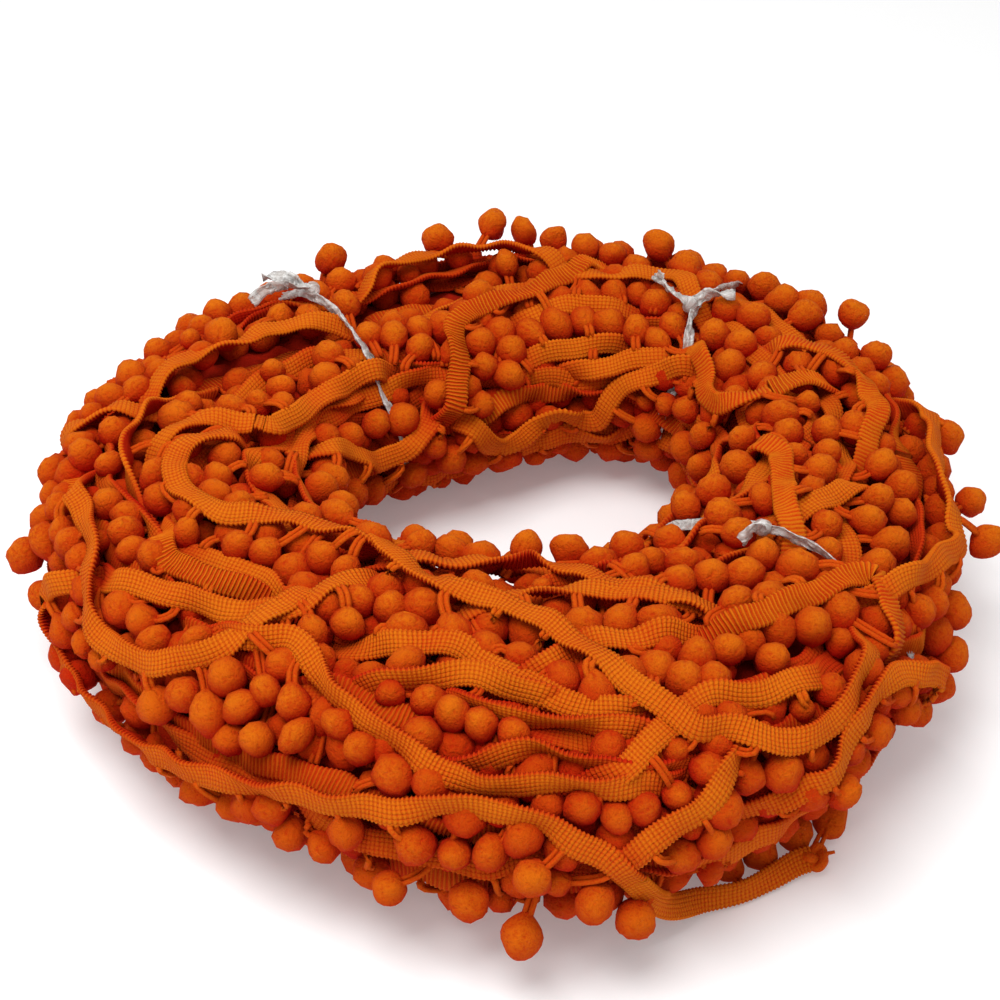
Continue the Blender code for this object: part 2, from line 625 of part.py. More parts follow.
def wound_solid(strands, pompoms, size, roots, collection):
    """The hank: core, turns, stalks and pompoms grown together into one closed skin."""
    parts = [swept(core_rows(), True)]
    for s in strands:
        rows = band_rows(s["points"], s["closed"], BRAID_WIDTH, SOLID_BRAID_THICKNESS, s["tilt"])
        parts.append(swept(rows, s["closed"]))
    unit, ball_faces = ball_points(2)
    for middle, radius, root in zip(pompoms, size, roots):
        parts.append((middle + unit * radius, ball_faces))
        stalk = np.linspace(root, middle, 3)
        parts.append(swept(tube_rows(stalk, SOLID_STALK_RADIUS), False))
    points, faces, count = [], [], 0
    for part_points, part_faces in parts:
        points.append(part_points)
        faces.extend(tuple(int(k) + count for k in f) for f in part_faces)
        count += len(part_points)
    hank = mesh_object("hank", np.vstack(points), faces, collection)
    skin = hank.modifiers.new("one_skin", "REMESH")
    skin.mode = "VOXEL"
    skin.voxel_size = VOXEL
    apply_modifiers(hank)
    largest_piece(hank)
    hank.data.calc_loop_triangles()
    fewer = hank.modifiers.new("fewer_faces", "DECIMATE")
    fewer.ratio = HANK_TRIANGLES / len(hank.data.loop_triangles)
    fewer.use_collapse_triangulate = True
    apply_modifiers(hank)
    rest_flat(hank)
    return hank


def rest_flat(thing):
    """Brings what is within a hair of the floor onto it, so the ring rests level."""
    body = bmesh.new()
    body.from_mesh(thing.data)
    for v in body.verts:
        if v.co.z < FOOT_SNAP:
            v.co.z = 0.0
    bmesh.ops.dissolve_degenerate(body, dist=0.00002, edges=body.edges)
    bmesh.ops.triangulate(body, faces=[f for f in body.faces if len(f.verts) > 3])
    body.to_mesh(thing.data)
    body.free()


def tie_bodies(tie, grow):
    """Closed bodies of one tie: loop, knot and tails, each grown by the clearance."""
    loop, _ = tie_rows(tie["loop"], 0.004)
    wide, thick = FILM_WIDTH + 2 * grow, FILM_THICKNESS + 2 * grow
    bodies = [swept(band_rows(loop, True, wide, thick), True)]
    unit, faces = ball_points(2)
    theta, phi, lift = tie["knot"]
    middle = on_ring(np.radians([theta]), np.radians([phi]), lift * 0.001)
    outward, _ = ring_place(middle)
    bodies.append((middle - outward * 0.001 + unit * (0.0026 + grow), faces))
    for tail in tie["tails"]:
        rows = np.array(tail, float)
        route = on_ring(np.radians(rows[:, 0]), np.radians(rows[:, 1]), rows[:, 2] * 0.001)
        path = smooth_path(route, 0.003)
        bodies.append(swept(band_rows(path, False, wide * 0.9, thick * 1.1), False))
    return bodies


def boolean(target, cutter, operation):
    """One Boolean, applied."""
    step = target.modifiers.new(operation.lower(), "BOOLEAN")
    step.operation = operation
    step.solver = "EXACT"
    step.object = cutter
    apply_modifiers(target)


def fused(name, bodies, collection, spare):
    """The union of closed bodies."""
    whole = mesh_object(name, *bodies[0], collection)
    for k, body in enumerate(bodies[1:]):
        more = mesh_object(f"{name}_more_{k}", *body, spare)
        boolean(whole, more, "UNION")
    return whole


def finish_solid(thing, finish):
    """Sets the ring's middle over the origin and gives the finish."""
    outward_faces(thing)
    points = np.array([v.co[:] for v in thing.data.vertices])
    points[:, :2] -= RING_MIDDLE
    thing.data.vertices.foreach_set("co", points.ravel())
    thing.data.update()
    thing.data.materials.clear()
    thing.data.materials.append(finish)


clear_scene()
parts = bpy.data.collections.new("pompom_fringe_trim")
cutters = bpy.data.collections.new("cutters")
bpy.context.scene.collection.children.link(parts)
bpy.context.scene.collection.children.link(cutters)

strands, pompoms, size, roots = settle(wound_strands())
hank = wound_solid(strands, pompoms, size, roots, parts)

loose_path = smooth_path(LOOSE_ROUTE, 0.006)
cuts = [swept(tube_rows(loose_path, LOOSE_RADIUS + CLEARANCE, 10), False)]
for tie in TIES.values():
    cuts.extend(tie_bodies(tie, CLEARANCE))
for k, (points, faces) in enumerate(cuts):
    cutter = mesh_object(f"groove_{k}", points, faces, cutters)
    cutter.hide_render = True
    cutter.display_type = "WIRE"
    boolean(hank, cutter, "DIFFERENCE")
largest_piece(hank)

loose_end = mesh_object("loose_end", *swept(tube_rows(loose_path, LOOSE_RADIUS, 10), False), parts)
yarn = material("trim_yarn", ORANGE, 0.9)
film = material("tie_film", FILM_GREY, 0.45)
finish_solid(hank, yarn)
finish_solid(loose_end, yarn)
for name, tie in TIES.items():
    finish_solid(fused(name, tie_bodies(tie, 0.0), parts, cutters), film)
for thing in list(cutters.objects):
    thing.hide_render = True
    thing.display_type = "WIRE"
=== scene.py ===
# %% [markdown]
# A hank of pompom fringe trim. The real thing is about 18 m of narrow woven braid with a
# pompom on a short stalk every 14 mm, wound by hand into a ring and tied with plastic film.
# The measured solids come in first and fix the size. Everything that shows is made here
# round the same turns, so that the yarn has its ribs, its stalks and its felted balls.

import bpy
import numpy as np
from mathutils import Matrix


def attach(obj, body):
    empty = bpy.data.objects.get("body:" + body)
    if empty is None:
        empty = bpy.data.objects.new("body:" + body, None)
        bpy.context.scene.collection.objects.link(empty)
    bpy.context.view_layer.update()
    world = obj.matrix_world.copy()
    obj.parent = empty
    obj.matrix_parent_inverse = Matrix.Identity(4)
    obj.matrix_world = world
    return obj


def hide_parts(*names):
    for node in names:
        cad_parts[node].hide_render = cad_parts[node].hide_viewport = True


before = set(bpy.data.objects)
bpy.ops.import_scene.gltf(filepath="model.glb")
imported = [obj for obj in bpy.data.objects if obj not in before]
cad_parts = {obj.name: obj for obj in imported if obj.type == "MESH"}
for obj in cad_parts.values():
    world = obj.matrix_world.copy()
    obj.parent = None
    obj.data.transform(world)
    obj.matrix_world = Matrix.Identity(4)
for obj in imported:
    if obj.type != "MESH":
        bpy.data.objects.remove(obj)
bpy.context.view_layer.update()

# %% [markdown]
# The ring isn't a true circle, because hands wound it. Its middle radius, its width and its
# height swell and shrink a little on the way round, as sums of a few waves.

# %% The ring's sizes
# Ring
RING_RADIUS = 0.084
BUNDLE_HALF_WIDTH = 0.0433
BUNDLE_HEIGHT = 0.0590
SQUARENESS_ABOVE = 0.85
SQUARENESS_BELOW = 1.0
TUCK_DEPTH = 0.011
TUCK_ANGLE = np.radians(302)
TUCK_SPREAD = np.radians(19)
RING_MIDDLE = (-0.0037, -0.0106)

# Trim
BRAID_WIDTH = 0.0064
POMPOM_RADIUS = 0.0047
POMPOM_PITCH = 0.014
STALK_REACH = 0.0110
SURFACE_TURNS = 15
SURFACE_DEPTH = 0.0050
DEEP_TURNS = 9
DEEP_DEPTH = 0.0105
POMPOM_RISE = 0.0025
SEED = 11

# How tightly the trim lies
STRAND_ROOM = 0.0025
CORE_DEPTH = 0.014
SETTLING_ROUNDS = 140

rng = np.random.default_rng(SEED)
print("ring", RING_RADIUS * 2, "m across its middle")

# %% [markdown]
# A place on the ring is two angles and a lift: theta round the ring, phi round the bundle
# and the lift outwards. Routes written this way stay on the bundle wherever they go.

# %% Places on the ring
def ring_section(theta):
    """Middle radius, half width and height of the bundle at theta: it was wound by hand."""
    wave = {k: (np.cos(k * theta), np.sin(k * theta)) for k in (1, 2, 3)}
    middle = (RING_RADIUS + 0.0017 * wave[2][0] + 0.0020 * wave[2][1]
              - 0.0040 * wave[3][0] + 0.0023 * wave[3][1])
    half = (BUNDLE_HALF_WIDTH - 0.0029 * wave[1][0] - 0.0045 * wave[1][1]
            - 0.0025 * wave[2][0] - 0.0020 * wave[2][1])
    height = BUNDLE_HEIGHT - 0.0048 * wave[1][1]
    return middle, half, height


def tuck(theta):
    """How far the lower outer side is drawn in, by the loose end at the front right."""
    turn = np.angle(np.exp(1j * (theta - TUCK_ANGLE)))
    return TUCK_DEPTH * np.exp(-(turn / TUCK_SPREAD) ** 2)


def section_point(theta, phi, wider, taller):
    """Radius and height at those angles on a section grown by wider and taller."""
    middle, half, height = ring_section(theta)
    square = np.where(np.sin(phi) < 0, SQUARENESS_BELOW, SQUARENESS_ABOVE)
    across = np.sign(np.cos(phi)) * np.abs(np.cos(phi)) ** square
    upward = np.sign(np.sin(phi)) * np.abs(np.sin(phi)) ** square
    r = middle + (half + wider) * across
    r = r - tuck(theta) * np.clip(-upward, 0, None) * np.clip(across, 0, None) ** 0.5
    return r, height / 2 + (height / 2 + taller) * upward


def on_ring(theta, phi, lift):
    """Points at those angles, in radians, and that lift."""
    r, z = section_point(theta, phi, lift, lift)
    return np.stack([r * np.cos(theta), r * np.sin(theta), z], -1)


def ring_place(points):
    """Outward direction and lift of points near the bundle."""
    theta = np.arctan2(points[:, 1], points[:, 0])
    middle, half, height = ring_section(theta)
    centre = np.stack([middle * np.cos(theta), middle * np.sin(theta), height / 2], -1)
    offset = points - centre
    across = (np.hypot(points[:, 0], points[:, 1]) - middle) / half
    upward = offset[:, 2] / (height / 2)
    drawn = np.clip(-upward, 0, 1) * np.clip(across, 0, 1) ** 0.5
    across = across + tuck(theta) / half * drawn
    power = 2 / np.where(upward < 0, SQUARENESS_BELOW, SQUARENESS_ABOVE)
    level = (np.abs(across) ** power + np.abs(upward) ** power) ** (1 / power) + 1e-9
    distance = np.linalg.norm(offset, axis=1) + 1e-9
    return offset / distance[:, None], distance * (1 - 1 / level)


def fringe_sense(points, side):
    """1 where side points towards larger phi, -1 where it points towards smaller phi."""
    theta = np.arctan2(points[:, 1], points[:, 0])
    middle, _, height = ring_section(theta)
    r = np.hypot(points[:, 0], points[:, 1]) - middle
    z = points[:, 2] - height / 2
    growing = np.stack([-z * np.cos(theta), -z * np.sin(theta), r], -1)
    return np.where((side * growing).sum(1) >= 0, 1.0, -1.0)

print("top of the ring at the back:", on_ring(np.pi / 2, np.pi / 2, 0.0).round(4))

# %% [markdown]
# The turns that show in the view were laid one by one, so their routes are short rows of stations.
# The rest of the bundle is closed turns in two layers, near the skin and deep.

# %% Routes of the turns that show
# Turns of the trim that show. fringe: the side that the pompoms hang to, 1 towards larger
# phi. tilt: degrees that the braid is rolled on its edge. lift: mm. route: (theta, phi).
TURNS = {
    "outer_turn": dict(fringe=-1, tilt=10, lift=1, route=[
        (203, 30), (200, 9), (204, -3), (212, -8), (226, 0), (236, 8), (246, 18), (256, 24),
        (264, 32), (272, 28), (278, 12), (281, 1)]),
    "front_low": dict(fringe=-1, tilt=20, lift=1, route=[
        (231, 62), (238, 69), (242, 66), (247, 58), (253, 53), (259, 46), (265, 40), (272, 42),
        (281, 39)]),
    "left_hook": dict(fringe=-1, tilt=0, lift=2, route=[
        (183, 100), (187, 90), (193, 86), (202, 87), (208, 90), (212, 95), (218, 102),
        (228, 106), (237, 107)]),
    "front_diagonal": dict(fringe=-1, tilt=0, lift=3, route=[
        (237, 107), (247, 100), (258, 97), (269, 94), (278, 86), (285, 68), (289, 55),
        (293, 51), (297, 42), (303, 36), (309, 42), (314, 48)]),
    "inner_rim_front": dict(fringe=1, tilt=0, lift=0, route=[
        (242, 108), (252, 112), (262, 120), (273, 125), (283, 115), (291, 102), (299, 92)]),
    "front_second": dict(fringe=-1, tilt=0, lift=0, route=[
        (263, 96), (271, 103), (280, 105), (289, 101), (297, 94)]),
    "right_fold": dict(fringe=1, tilt=0, lift=2, route=[
        (303, 80), (309, 77), (315, 74), (321, 69), (325, 62), (323, 53), (320, 42)]),
    "right_loop": dict(fringe=-1, tilt=0, lift=3, route=[
        (9, 39), (358, 44), (352, 41), (347, 33), (344, 28), (338, 37), (331, 47), (325, 55)]),
    "front_third": dict(fringe=-1, tilt=25, lift=0, route=[
        (273, 80), (279, 87), (285, 87), (292, 86)]),
    "front_right_low": dict(fringe=-1, tilt=-15, lift=1, route=[
        (280, 45), (285, 54), (291, 63), (298, 58), (305, 54)]),
    "right_low": dict(fringe=-1, tilt=0, lift=2, route=[
        (301, 18), (304, 22), (308, 30), (313, 34), (318, 30), (322, 18), (326, 6)]),
    "front_foot": dict(fringe=-1, tilt=0, lift=1, route=[
        (280, 12), (284, 21), (288, 27), (292, 38)]),
    "front_middle": dict(fringe=1, tilt=0, lift=0, route=[
        (252, 81), (259, 84), (266, 80), (272, 74), (278, 66), (284, 65)]),
    "front_short": dict(fringe=-1, tilt=35, lift=0, route=[
        (253, 68), (261, 75), (267, 75), (272, 71)]),
    "front_under": dict(fringe=-1, tilt=50, lift=-1, route=[
        (266, 66), (272, 63), (278, 62), (284, 57)]),
    "front_base": dict(fringe=-1, tilt=40, lift=-1, route=[
        (266, 48), (272, 54), (277, 48), (283, 44)]),
    "left_loop": dict(fringe=-1, tilt=0, lift=2, route=[
        (191, 51), (197, 54), (204, 49), (208, 39), (213, 31), (220, 33), (226, 42), (230, 55),
        (232, 68), (233, 80)]),
    "left_band": dict(fringe=-1, tilt=0, lift=1, route=[
        (210, 50), (216, 59), (222, 64), (229, 70), (234, 78), (238, 92)]),
    "left_patch": dict(fringe=-1, tilt=0, lift=0, route=[(208, 72), (214, 69), (221, 75)]),
    "top_left": dict(fringe=-1, tilt=0, lift=1, route=[
        (182, 86), (178, 93), (177, 107), (176, 119), (168, 123), (158, 126), (146, 124),
        (137, 125)]),
    "back_left": dict(fringe=-1, tilt=0, lift=1, route=[
        (165, 74), (158, 79), (151, 86), (143, 88), (136, 92)]),
    "far_left": dict(fringe=-1, tilt=0, lift=0, route=[(175, 34), (174, 50), (173, 66)]),
    "left_edge": dict(fringe=-1, tilt=50, lift=0, route=[(186, 72), (180, 73), (174, 76)]),
    "back_rim": dict(fringe=-1, tilt=0, lift=2, route=[
        (118, 73), (111, 67), (104, 64), (98, 63), (92, 66), (84, 79)]),
    "back_right": dict(fringe=-1, tilt=0, lift=2, route=[
        (80, 90), (72, 92), (64, 88), (58, 88), (53, 94)]),
    "back_crossing": dict(fringe=1, tilt=0, lift=3, route=[
        (76, 86), (80, 93), (87, 100), (95, 103), (103, 105), (109, 112), (111, 124),
        (115, 138), (122, 153)]),
    "inner_left": dict(fringe=1, tilt=40, lift=0, route=[
        (172, 146), (163, 162), (155, 173), (147, 173), (140, 168), (133, 162)]),
    "back_top": dict(fringe=-1, tilt=0, lift=0, route=[(86, 111), (78, 108), (68, 108)]),
    "back_inner": dict(fringe=-1, tilt=0, lift=-1, route=[(84, 136), (74, 134), (66, 132)]),
    "back_inner_right": dict(fringe=-1, tilt=0, lift=0, route=[(69, 148), (60, 145), (51, 135)]),
    "inner_rim_back": dict(fringe=1, tilt=0, lift=1, route=[
        (114, 166), (104, 178), (96, 184), (87, 182), (79, 175), (71, 175), (64, 182),
        (60, 171), (54, 154), (47, 144), (41, 134)]),
    "inner_foot_back": dict(fringe=1, tilt=0, lift=0, route=[(90, 192), (75, 190), (60, 194)]),
    "right_rim": dict(fringe=1, tilt=0, lift=2, route=[
        (41, 122), (32, 131), (22, 136), (16, 121), (15, 104), (16, 92)]),
    "right_back": dict(fringe=1, tilt=0, lift=2, route=[
        (28, 91), (22, 80), (16, 74), (9, 71), (2, 72)]),
    "right_top": dict(fringe=-1, tilt=0, lift=2, route=[
        (353, 109), (350, 102), (343, 98), (336, 96), (329, 91)]),
    "right_short": dict(fringe=-1, tilt=0, lift=0, route=[(332, 90), (338, 86), (343, 80)]),
}

print(len(TURNS), "turns laid by hand")

# %% Stray pompoms and ties
# Pompoms that stand out of the bundle: theta, phi, lift of the pompom's middle in mm.
STRAYS = [
    (190, 6, 5), (195, -3, 2), (204, -9, 3), (208, -12, 3), (182, 39, -1), (155, 48, 1),
    (142, 46, 2), (121, 46, 7), (103, 45, 7), (94, 45, 10), (89, 48, 7), (84, 58, 5),
    (78, 67, 4), (73, 72, 3), (66, 64, 6), (59, 78, 4), (43, 60, 1), (40, 48, 2), (34, 40, 7),
    (23, 50, 4), (20, 36, 1), (11, 27, 2), (7, 24, 7), (356, 15, 8), (349, 12, 11),
    (337, 8, 2), (333, -3, 4), (328, -6, 3), (304, 8, 5), (257, -10, 5), (265, -12, 4),
    (270, -18, 10), (271, 8, 6), (277, -6, 5), (281, -16, 8), (249, -6, 1), (245, -8, 1),
    (139, 194, 1), (124, 184, 2), (96, 200, 1), (84, 208, 2), (250, 129, 1), (259, 129, 1),
    (272, 141, 4), (287, 141, 3), (302, 134, 1), (330, 134, 1),
]

# Ties: rows of (phi, theta, lift mm) once round the bundle, the knot's place, and the tails.
TIES = {
    "tie_1": dict(
        loop=[(0, 133, -4), (50, 132, -3), (74, 131, 1), (90, 131.5, 1.5), (108, 135, 1),
              (124, 138, -1), (140, 140, -4), (180, 141, -4), (230, 139, -4), (270, 136, -3),
              (310, 134, -4)],
        knot=(131, 76, 3.5),
        tails=[[(131.4, 76, 3.2), (134, 73, 5.0), (138, 71, 5.0), (141, 70, 3.0)],
               [(131, 74.5, 2.6), (133, 69, 6.0), (136, 64, 6.5)]]),
    "tie_2": dict(
        loop=[(0, 53, -4), (50, 52, -4), (84, 51, -1), (102, 50.5, 1.5), (114, 47, 1),
              (126, 43.5, -1), (142, 43, -4), (180, 44, -4), (230, 48, -4), (270, 51, -3),
              (310, 53, -4)],
        knot=(51, 101, 3.0),
        tails=[[(51.4, 101, 2.8), (55, 99, 4.0), (58, 96, 4.0), (62, 90, 3.0)],
               [(50.6, 100, 2.4), (49, 95, 4.5), (45, 90, 4.5)]]),
    "tie_3": dict(
        loop=[(0, 324, -4), (50, 324, -4), (72, 323.5, 0), (82, 324, 1.5), (92, 324, 1.5),
              (106, 323, -2), (124, 323, -4), (180, 323, -4), (230, 323, -4), (270, 324, -3),
              (310, 324, -4)],
        knot=(323, 95, 2.0),
        tails=[[(322.6, 95, 1.8), (320, 95, 3.5), (316, 96, 2.0)]]),
}

LOOSE_ROUTE = [
    (0.0263, -0.1338, 0.0310), (0.0312, -0.1300, 0.0210), (0.0362, -0.1238, 0.0112),
    (0.0435, -0.1172, 0.0052), (0.0535, -0.1138, 0.0040), (0.0613, -0.1094, 0.0040),
    (0.0680, -0.1048, 0.0040), (0.0723, -0.1030, 0.0040),
]

print(len(STRAYS), "strays and", len(TIES), "ties")

# %% [markdown]
# The listed routes are smoothed with a Catmull-Rom curve. Each turn dips into the bundle at both
# ends, because a real turn comes out from under its neighbours and goes back in.

# %% Strands of trim
def resample(points, step, closed=False):
    """Points at even steps along a polyline."""
    if closed:
        points = np.vstack([points, points[:1]])
    along = np.concatenate([[0], np.cumsum(np.linalg.norm(np.diff(points, axis=0), axis=1))])
    count = max(3, int(round(along[-1] / step)))
    wanted = np.linspace(0, along[-1], count + 1)
    wanted = wanted[:-1] if closed else wanted
    return np.stack([np.interp(wanted, along, points[:, k]) for k in range(3)], -1)


def smooth_path(stations, step):
    """Catmull-Rom curve through the stations, at even steps."""
    p = np.asarray(stations, float)
    p = np.vstack([2 * p[0] - p[1], p, 2 * p[-1] - p[-2]])
    t = np.linspace(0, 1, 24, endpoint=False)[:, None]
    parts = []
    for a, b, c, d in zip(p[:-3], p[1:-2], p[2:-1], p[3:]):
        bend = (2 * a - 5 * b + 4 * c - d) * t ** 2 + (3 * b - a - 3 * c + d) * t ** 3
        parts.append(0.5 * (2 * b + (c - a) * t + bend))
    return resample(np.vstack(parts + [p[-2:-1]]), step)


def turn_path(route, lift, step, dives=(True, True)):
    """A turn that shows: it comes up out of the bundle, runs along its route and dives in."""
    angles = np.radians(np.array(route, float))
    angles[:, 0] = np.unwrap(angles[:, 0])
    lifts = [lift * 0.001] * len(route)
    reach = np.array([RING_RADIUS, BUNDLE_HALF_WIDTH])
    for end, dives_in in ((0, dives[0]), (-1, dives[1])):
        if not dives_in:
            continue
        away = angles[end] - angles[1 if end == 0 else -2]
        away = away / np.linalg.norm(away * reach)
        near, far = angles[end] + away * 0.010, angles[end] + away * 0.022
        if end == 0:
            angles = np.vstack([far, near, angles])
            lifts = [-0.012, -0.006] + lifts
        else:
            angles = np.vstack([angles, near, far])
            lifts = lifts + [-0.006, -0.012]
    return smooth_path(on_ring(angles[:, 0], angles[:, 1], np.array(lifts)), step)


def wound_strands():
    """Every stretch of trim: the turns that show, and closed turns that fill the bundle."""
    step = POMPOM_PITCH / 2
    strands = []
    for name, turn in TURNS.items():
        dives = (True, name != "outer_turn")
        points = turn_path(turn["route"], turn["lift"], step, dives)
        strands.append(dict(name=name, points=points, fringe=turn["fringe"],
                            tilt=np.radians(turn["tilt"]), closed=False, home=0.0))
    theta = np.linspace(0, 2 * np.pi, 240, endpoint=False)
    layers = [("surface", SURFACE_TURNS, SURFACE_DEPTH), ("deep", DEEP_TURNS, DEEP_DEPTH)]
    for layer, turns, depth in layers:
        for k in range(turns):
            phi = 2 * np.pi * (k + rng.uniform(-0.3, 0.3)) / turns
            for m in (1, 2, 3, 5, 8):
                swing = rng.uniform(0.06, 0.2) / m ** 0.5
                phi = phi + swing * np.sin(m * theta + rng.uniform(0, 2 * np.pi))
            points = resample(on_ring(theta, phi, -depth), step, closed=True)
            strands.append(dict(name=f"{layer}_{k + 1:02d}", points=points, tilt=0.0,
                                closed=True, fringe=int(rng.choice([-1, 1])), home=-depth))
    return strands

strands = wound_strands()
print(len(strands), "strands")

# %% Directions along a strand
def frames(points, closed):
    """Tangent, sideways and outward directions along a strand."""
    if closed:
        tangent = np.roll(points, -1, 0) - np.roll(points, 1, 0)
    else:
        tangent = np.gradient(points, axis=0)
    tangent = tangent / np.linalg.norm(tangent, axis=1, keepdims=True)
    outward, _ = ring_place(points)
    outward = outward - (outward * tangent).sum(1, keepdims=True) * tangent
    outward = outward / np.linalg.norm(outward, axis=1, keepdims=True)
    return tangent, np.cross(outward, tangent), outward

# %% Pompoms on their stalks
def hang_pompoms(strands):
    """A pompom on a short stalk at every second point of each strand."""
    first = np.concatenate([[0], np.cumsum([len(s["points"]) for s in strands])])
    owners, middles = [], []
    for start, s in zip(first, strands):
        tangent, side, outward = frames(s["points"], s["closed"])
        index = np.arange(1, len(s["points"]) - (0 if s["closed"] else 1), 2)
        droop = rng.uniform(-1.2, 0.8, len(index))[:, None]
        sense = fringe_sense(s["points"], side)[index, None] * s["fringe"]
        lean = rng.uniform(-0.7, 0.7, (len(index), 1))
        aim = side[index] * sense * np.cos(droop) + outward[index] * np.sin(droop)
        aim = aim + tangent[index] * lean
        aim = aim / np.linalg.norm(aim, axis=1, keepdims=True)
        owners.append(start + index)
        middles.append(s["points"][index] + aim * STALK_REACH)
    return first, np.concatenate(owners), np.vstack(middles)

# %% What the trim keeps off
def tie_rows(rows, step):
    """A tie's smooth closed loop through its rows of (phi, theta, lift)."""
    rows = np.array(rows + [(rows[0][0] + 360, rows[0][1], rows[0][2])], float)
    phi = np.linspace(0, 360, 180, endpoint=False)
    theta = np.interp(phi, rows[:, 0], rows[:, 1])
    lift = np.interp(phi, rows[:, 0], rows[:, 2])
    kernel = np.ones(9) / 9
    theta = np.convolve(np.concatenate([theta[-4:], theta, theta[:4]]), kernel, "valid")
    lift = np.convolve(np.concatenate([lift[-4:], lift, lift[:4]]), kernel, "valid")
    points = on_ring(np.radians(theta), np.radians(phi), lift * 0.001)
    return resample(points, step, closed=True), lift

def kept_clear():
    """Points that the trim keeps off: the ties where they show, and the loose end."""
    places = [smooth_path(LOOSE_ROUTE, 0.004)]
    for tie in TIES.values():
        places.append(on_ring(*np.radians([[tie["knot"][0]], [tie["knot"][1]]]),
                              tie["knot"][2] * 0.001))
        shows = [(t, p, lift) for p, t, lift in tie["loop"] if lift > -2]
        for run in [shows] + tie["tails"]:
            run = np.array(run, float)
            points = on_ring(np.radians(run[:, 0]), np.radians(run[:, 1]), run[:, 2] * 0.001)
            places.append(smooth_path(points, 0.003))
    return np.vstack(places)

# %% [markdown]
# Yarn can't pass through yarn. Every point of a strand and every pompom is a small ball that
# pushes its neighbours off, round after round, until they only touch. The real bundle was
# packed the same way, by fingers.

# %% Packing the bundle
def settle(strands):
    """Pushes strands and pompoms apart until they only touch.

    Turns that show and stray pompoms stay where they are. The rest give way, held by their
    own length, by the core under them and by the mean surface of the bundle.
    """
    first, owner, pompoms = hang_pompoms(strands)
    nodes = np.vstack([s["points"] for s in strands])
    strand = np.concatenate([np.full(len(s["points"]), i) for i, s in enumerate(strands)])
    place = np.concatenate([np.arange(len(s["points"])) for s in strands])
    length = np.array([len(s["points"]) for s in strands])
    fixed = kept_clear()
    size = POMPOM_RADIUS * rng.uniform(0.88, 1.12, len(pompoms))
    reach = STALK_REACH * rng.uniform(0.8, 1.25, len(pompoms))
    n, m = len(nodes), len(pompoms)
    home = np.concatenate([np.full(len(s["points"]), s["home"]) for s in strands])
    hang = np.where(home[owner] < 0, POMPOM_RISE, 0.0) - rng.uniform(0.0, 0.003, m)
    home = np.concatenate([home, home[owner] + hang, np.zeros(len(fixed))])

    loose = np.concatenate([np.full(len(s["points"]), float(s["closed"])) for s in strands])
    weight = np.concatenate([loose, np.ones(m), np.zeros(len(fixed))])
    radius = np.concatenate([np.full(n, STRAND_ROOM), size * 0.95,
                             np.full(len(fixed), STRAND_ROOM)])

    stray = np.array(STRAYS, float)
    spots = on_ring(np.radians(stray[:, 0]), np.radians(stray[:, 1]), stray[:, 2] * 0.001 - 0.003)
    spots[:, 2] = np.maximum(spots[:, 2], POMPOM_RADIUS * 1.08)
    taken = np.zeros(m, bool)
    for spot in spots:
        far = np.linalg.norm(nodes[owner] - spot, axis=1)
        far = far + 0.5 * np.linalg.norm(pompoms - spot, axis=1) + taken
        k = int(np.argmin(far))
        taken[k] = True
        pompoms[k] = spot
        weight[n + k] = 0
        reach[k] = np.linalg.norm(nodes[owner[k]] - spot)

    p = np.vstack([nodes, pompoms, fixed])
    links = []
    for i, s in enumerate(strands):
        if s["closed"]:
            run = np.arange(first[i], first[i + 1])
            links.append(np.stack([run, np.roll(run, -1)], 1))
    links = np.vstack(links)
    rest = np.linalg.norm(p[links[:, 0]] - p[links[:, 1]], axis=1)
    balls = n + np.arange(m)

    for turn in range(SETTLING_ROUNDS):
        if turn % 8 == 0:
            i, j = near_pairs(p, radius, weight, n, m, strand, place, length, owner)
        move = np.zeros_like(p)
        count = np.zeros(len(p))

        def push(a, b, vector, share_a, share_b):
            for k in range(3):
                move[:, k] += np.bincount(a, vector[:, k] * share_a, len(p))
                move[:, k] -= np.bincount(b, vector[:, k] * share_b, len(p))
            count[:] += np.bincount(a, minlength=len(p)) + np.bincount(b, minlength=len(p))

        gap = p[i] - p[j]
        distance = np.linalg.norm(gap, axis=1) + 1e-9
        overlap = radius[i] + radius[j] - distance
        hit = overlap > 0
        a, b = i[hit], j[hit]
        total = weight[a] + weight[b]
        push(a, b, gap[hit] * (overlap[hit] / distance[hit])[:, None],
             weight[a] / total, weight[b] / total)

        a, b = links.T
        gap = p[b] - p[a]
        distance = np.linalg.norm(gap, axis=1) + 1e-9
        push(a, b, gap * ((distance - rest) / distance)[:, None], 0.5, 0.5)

        gap = p[balls] - p[owner]
        distance = np.linalg.norm(gap, axis=1) + 1e-9
        pull = distance - reach
        pull = np.where(pull > 0, pull, pull * 0.3)
        share_a, share_b = weight[owner] * 0.15, weight[balls]
        total = share_a + share_b + 1e-9
        push(owner, balls, gap * (pull / distance)[:, None], share_a / total, share_b / total)

        p = p + move / np.maximum(count, 1)[:, None] * 1.3
        outward, lift = ring_place(p)
        ceiling = np.where(np.arange(len(p)) < n, -0.0035, -0.0022)
        inward = 0.03 * (lift - home) + 0.5 * np.clip(lift - ceiling, 0, None)
        inward = inward - np.clip(radius - CORE_DEPTH - lift, 0, None)
        p = p - outward * (weight * inward)[:, None]
        p[:, 2] = np.where(weight > 0, np.maximum(p[:, 2], radius), p[:, 2])

    for k, s in enumerate(strands):
        s["points"] = p[first[k]:first[k + 1]]
    return strands, p[n:n + m], size, p[owner]


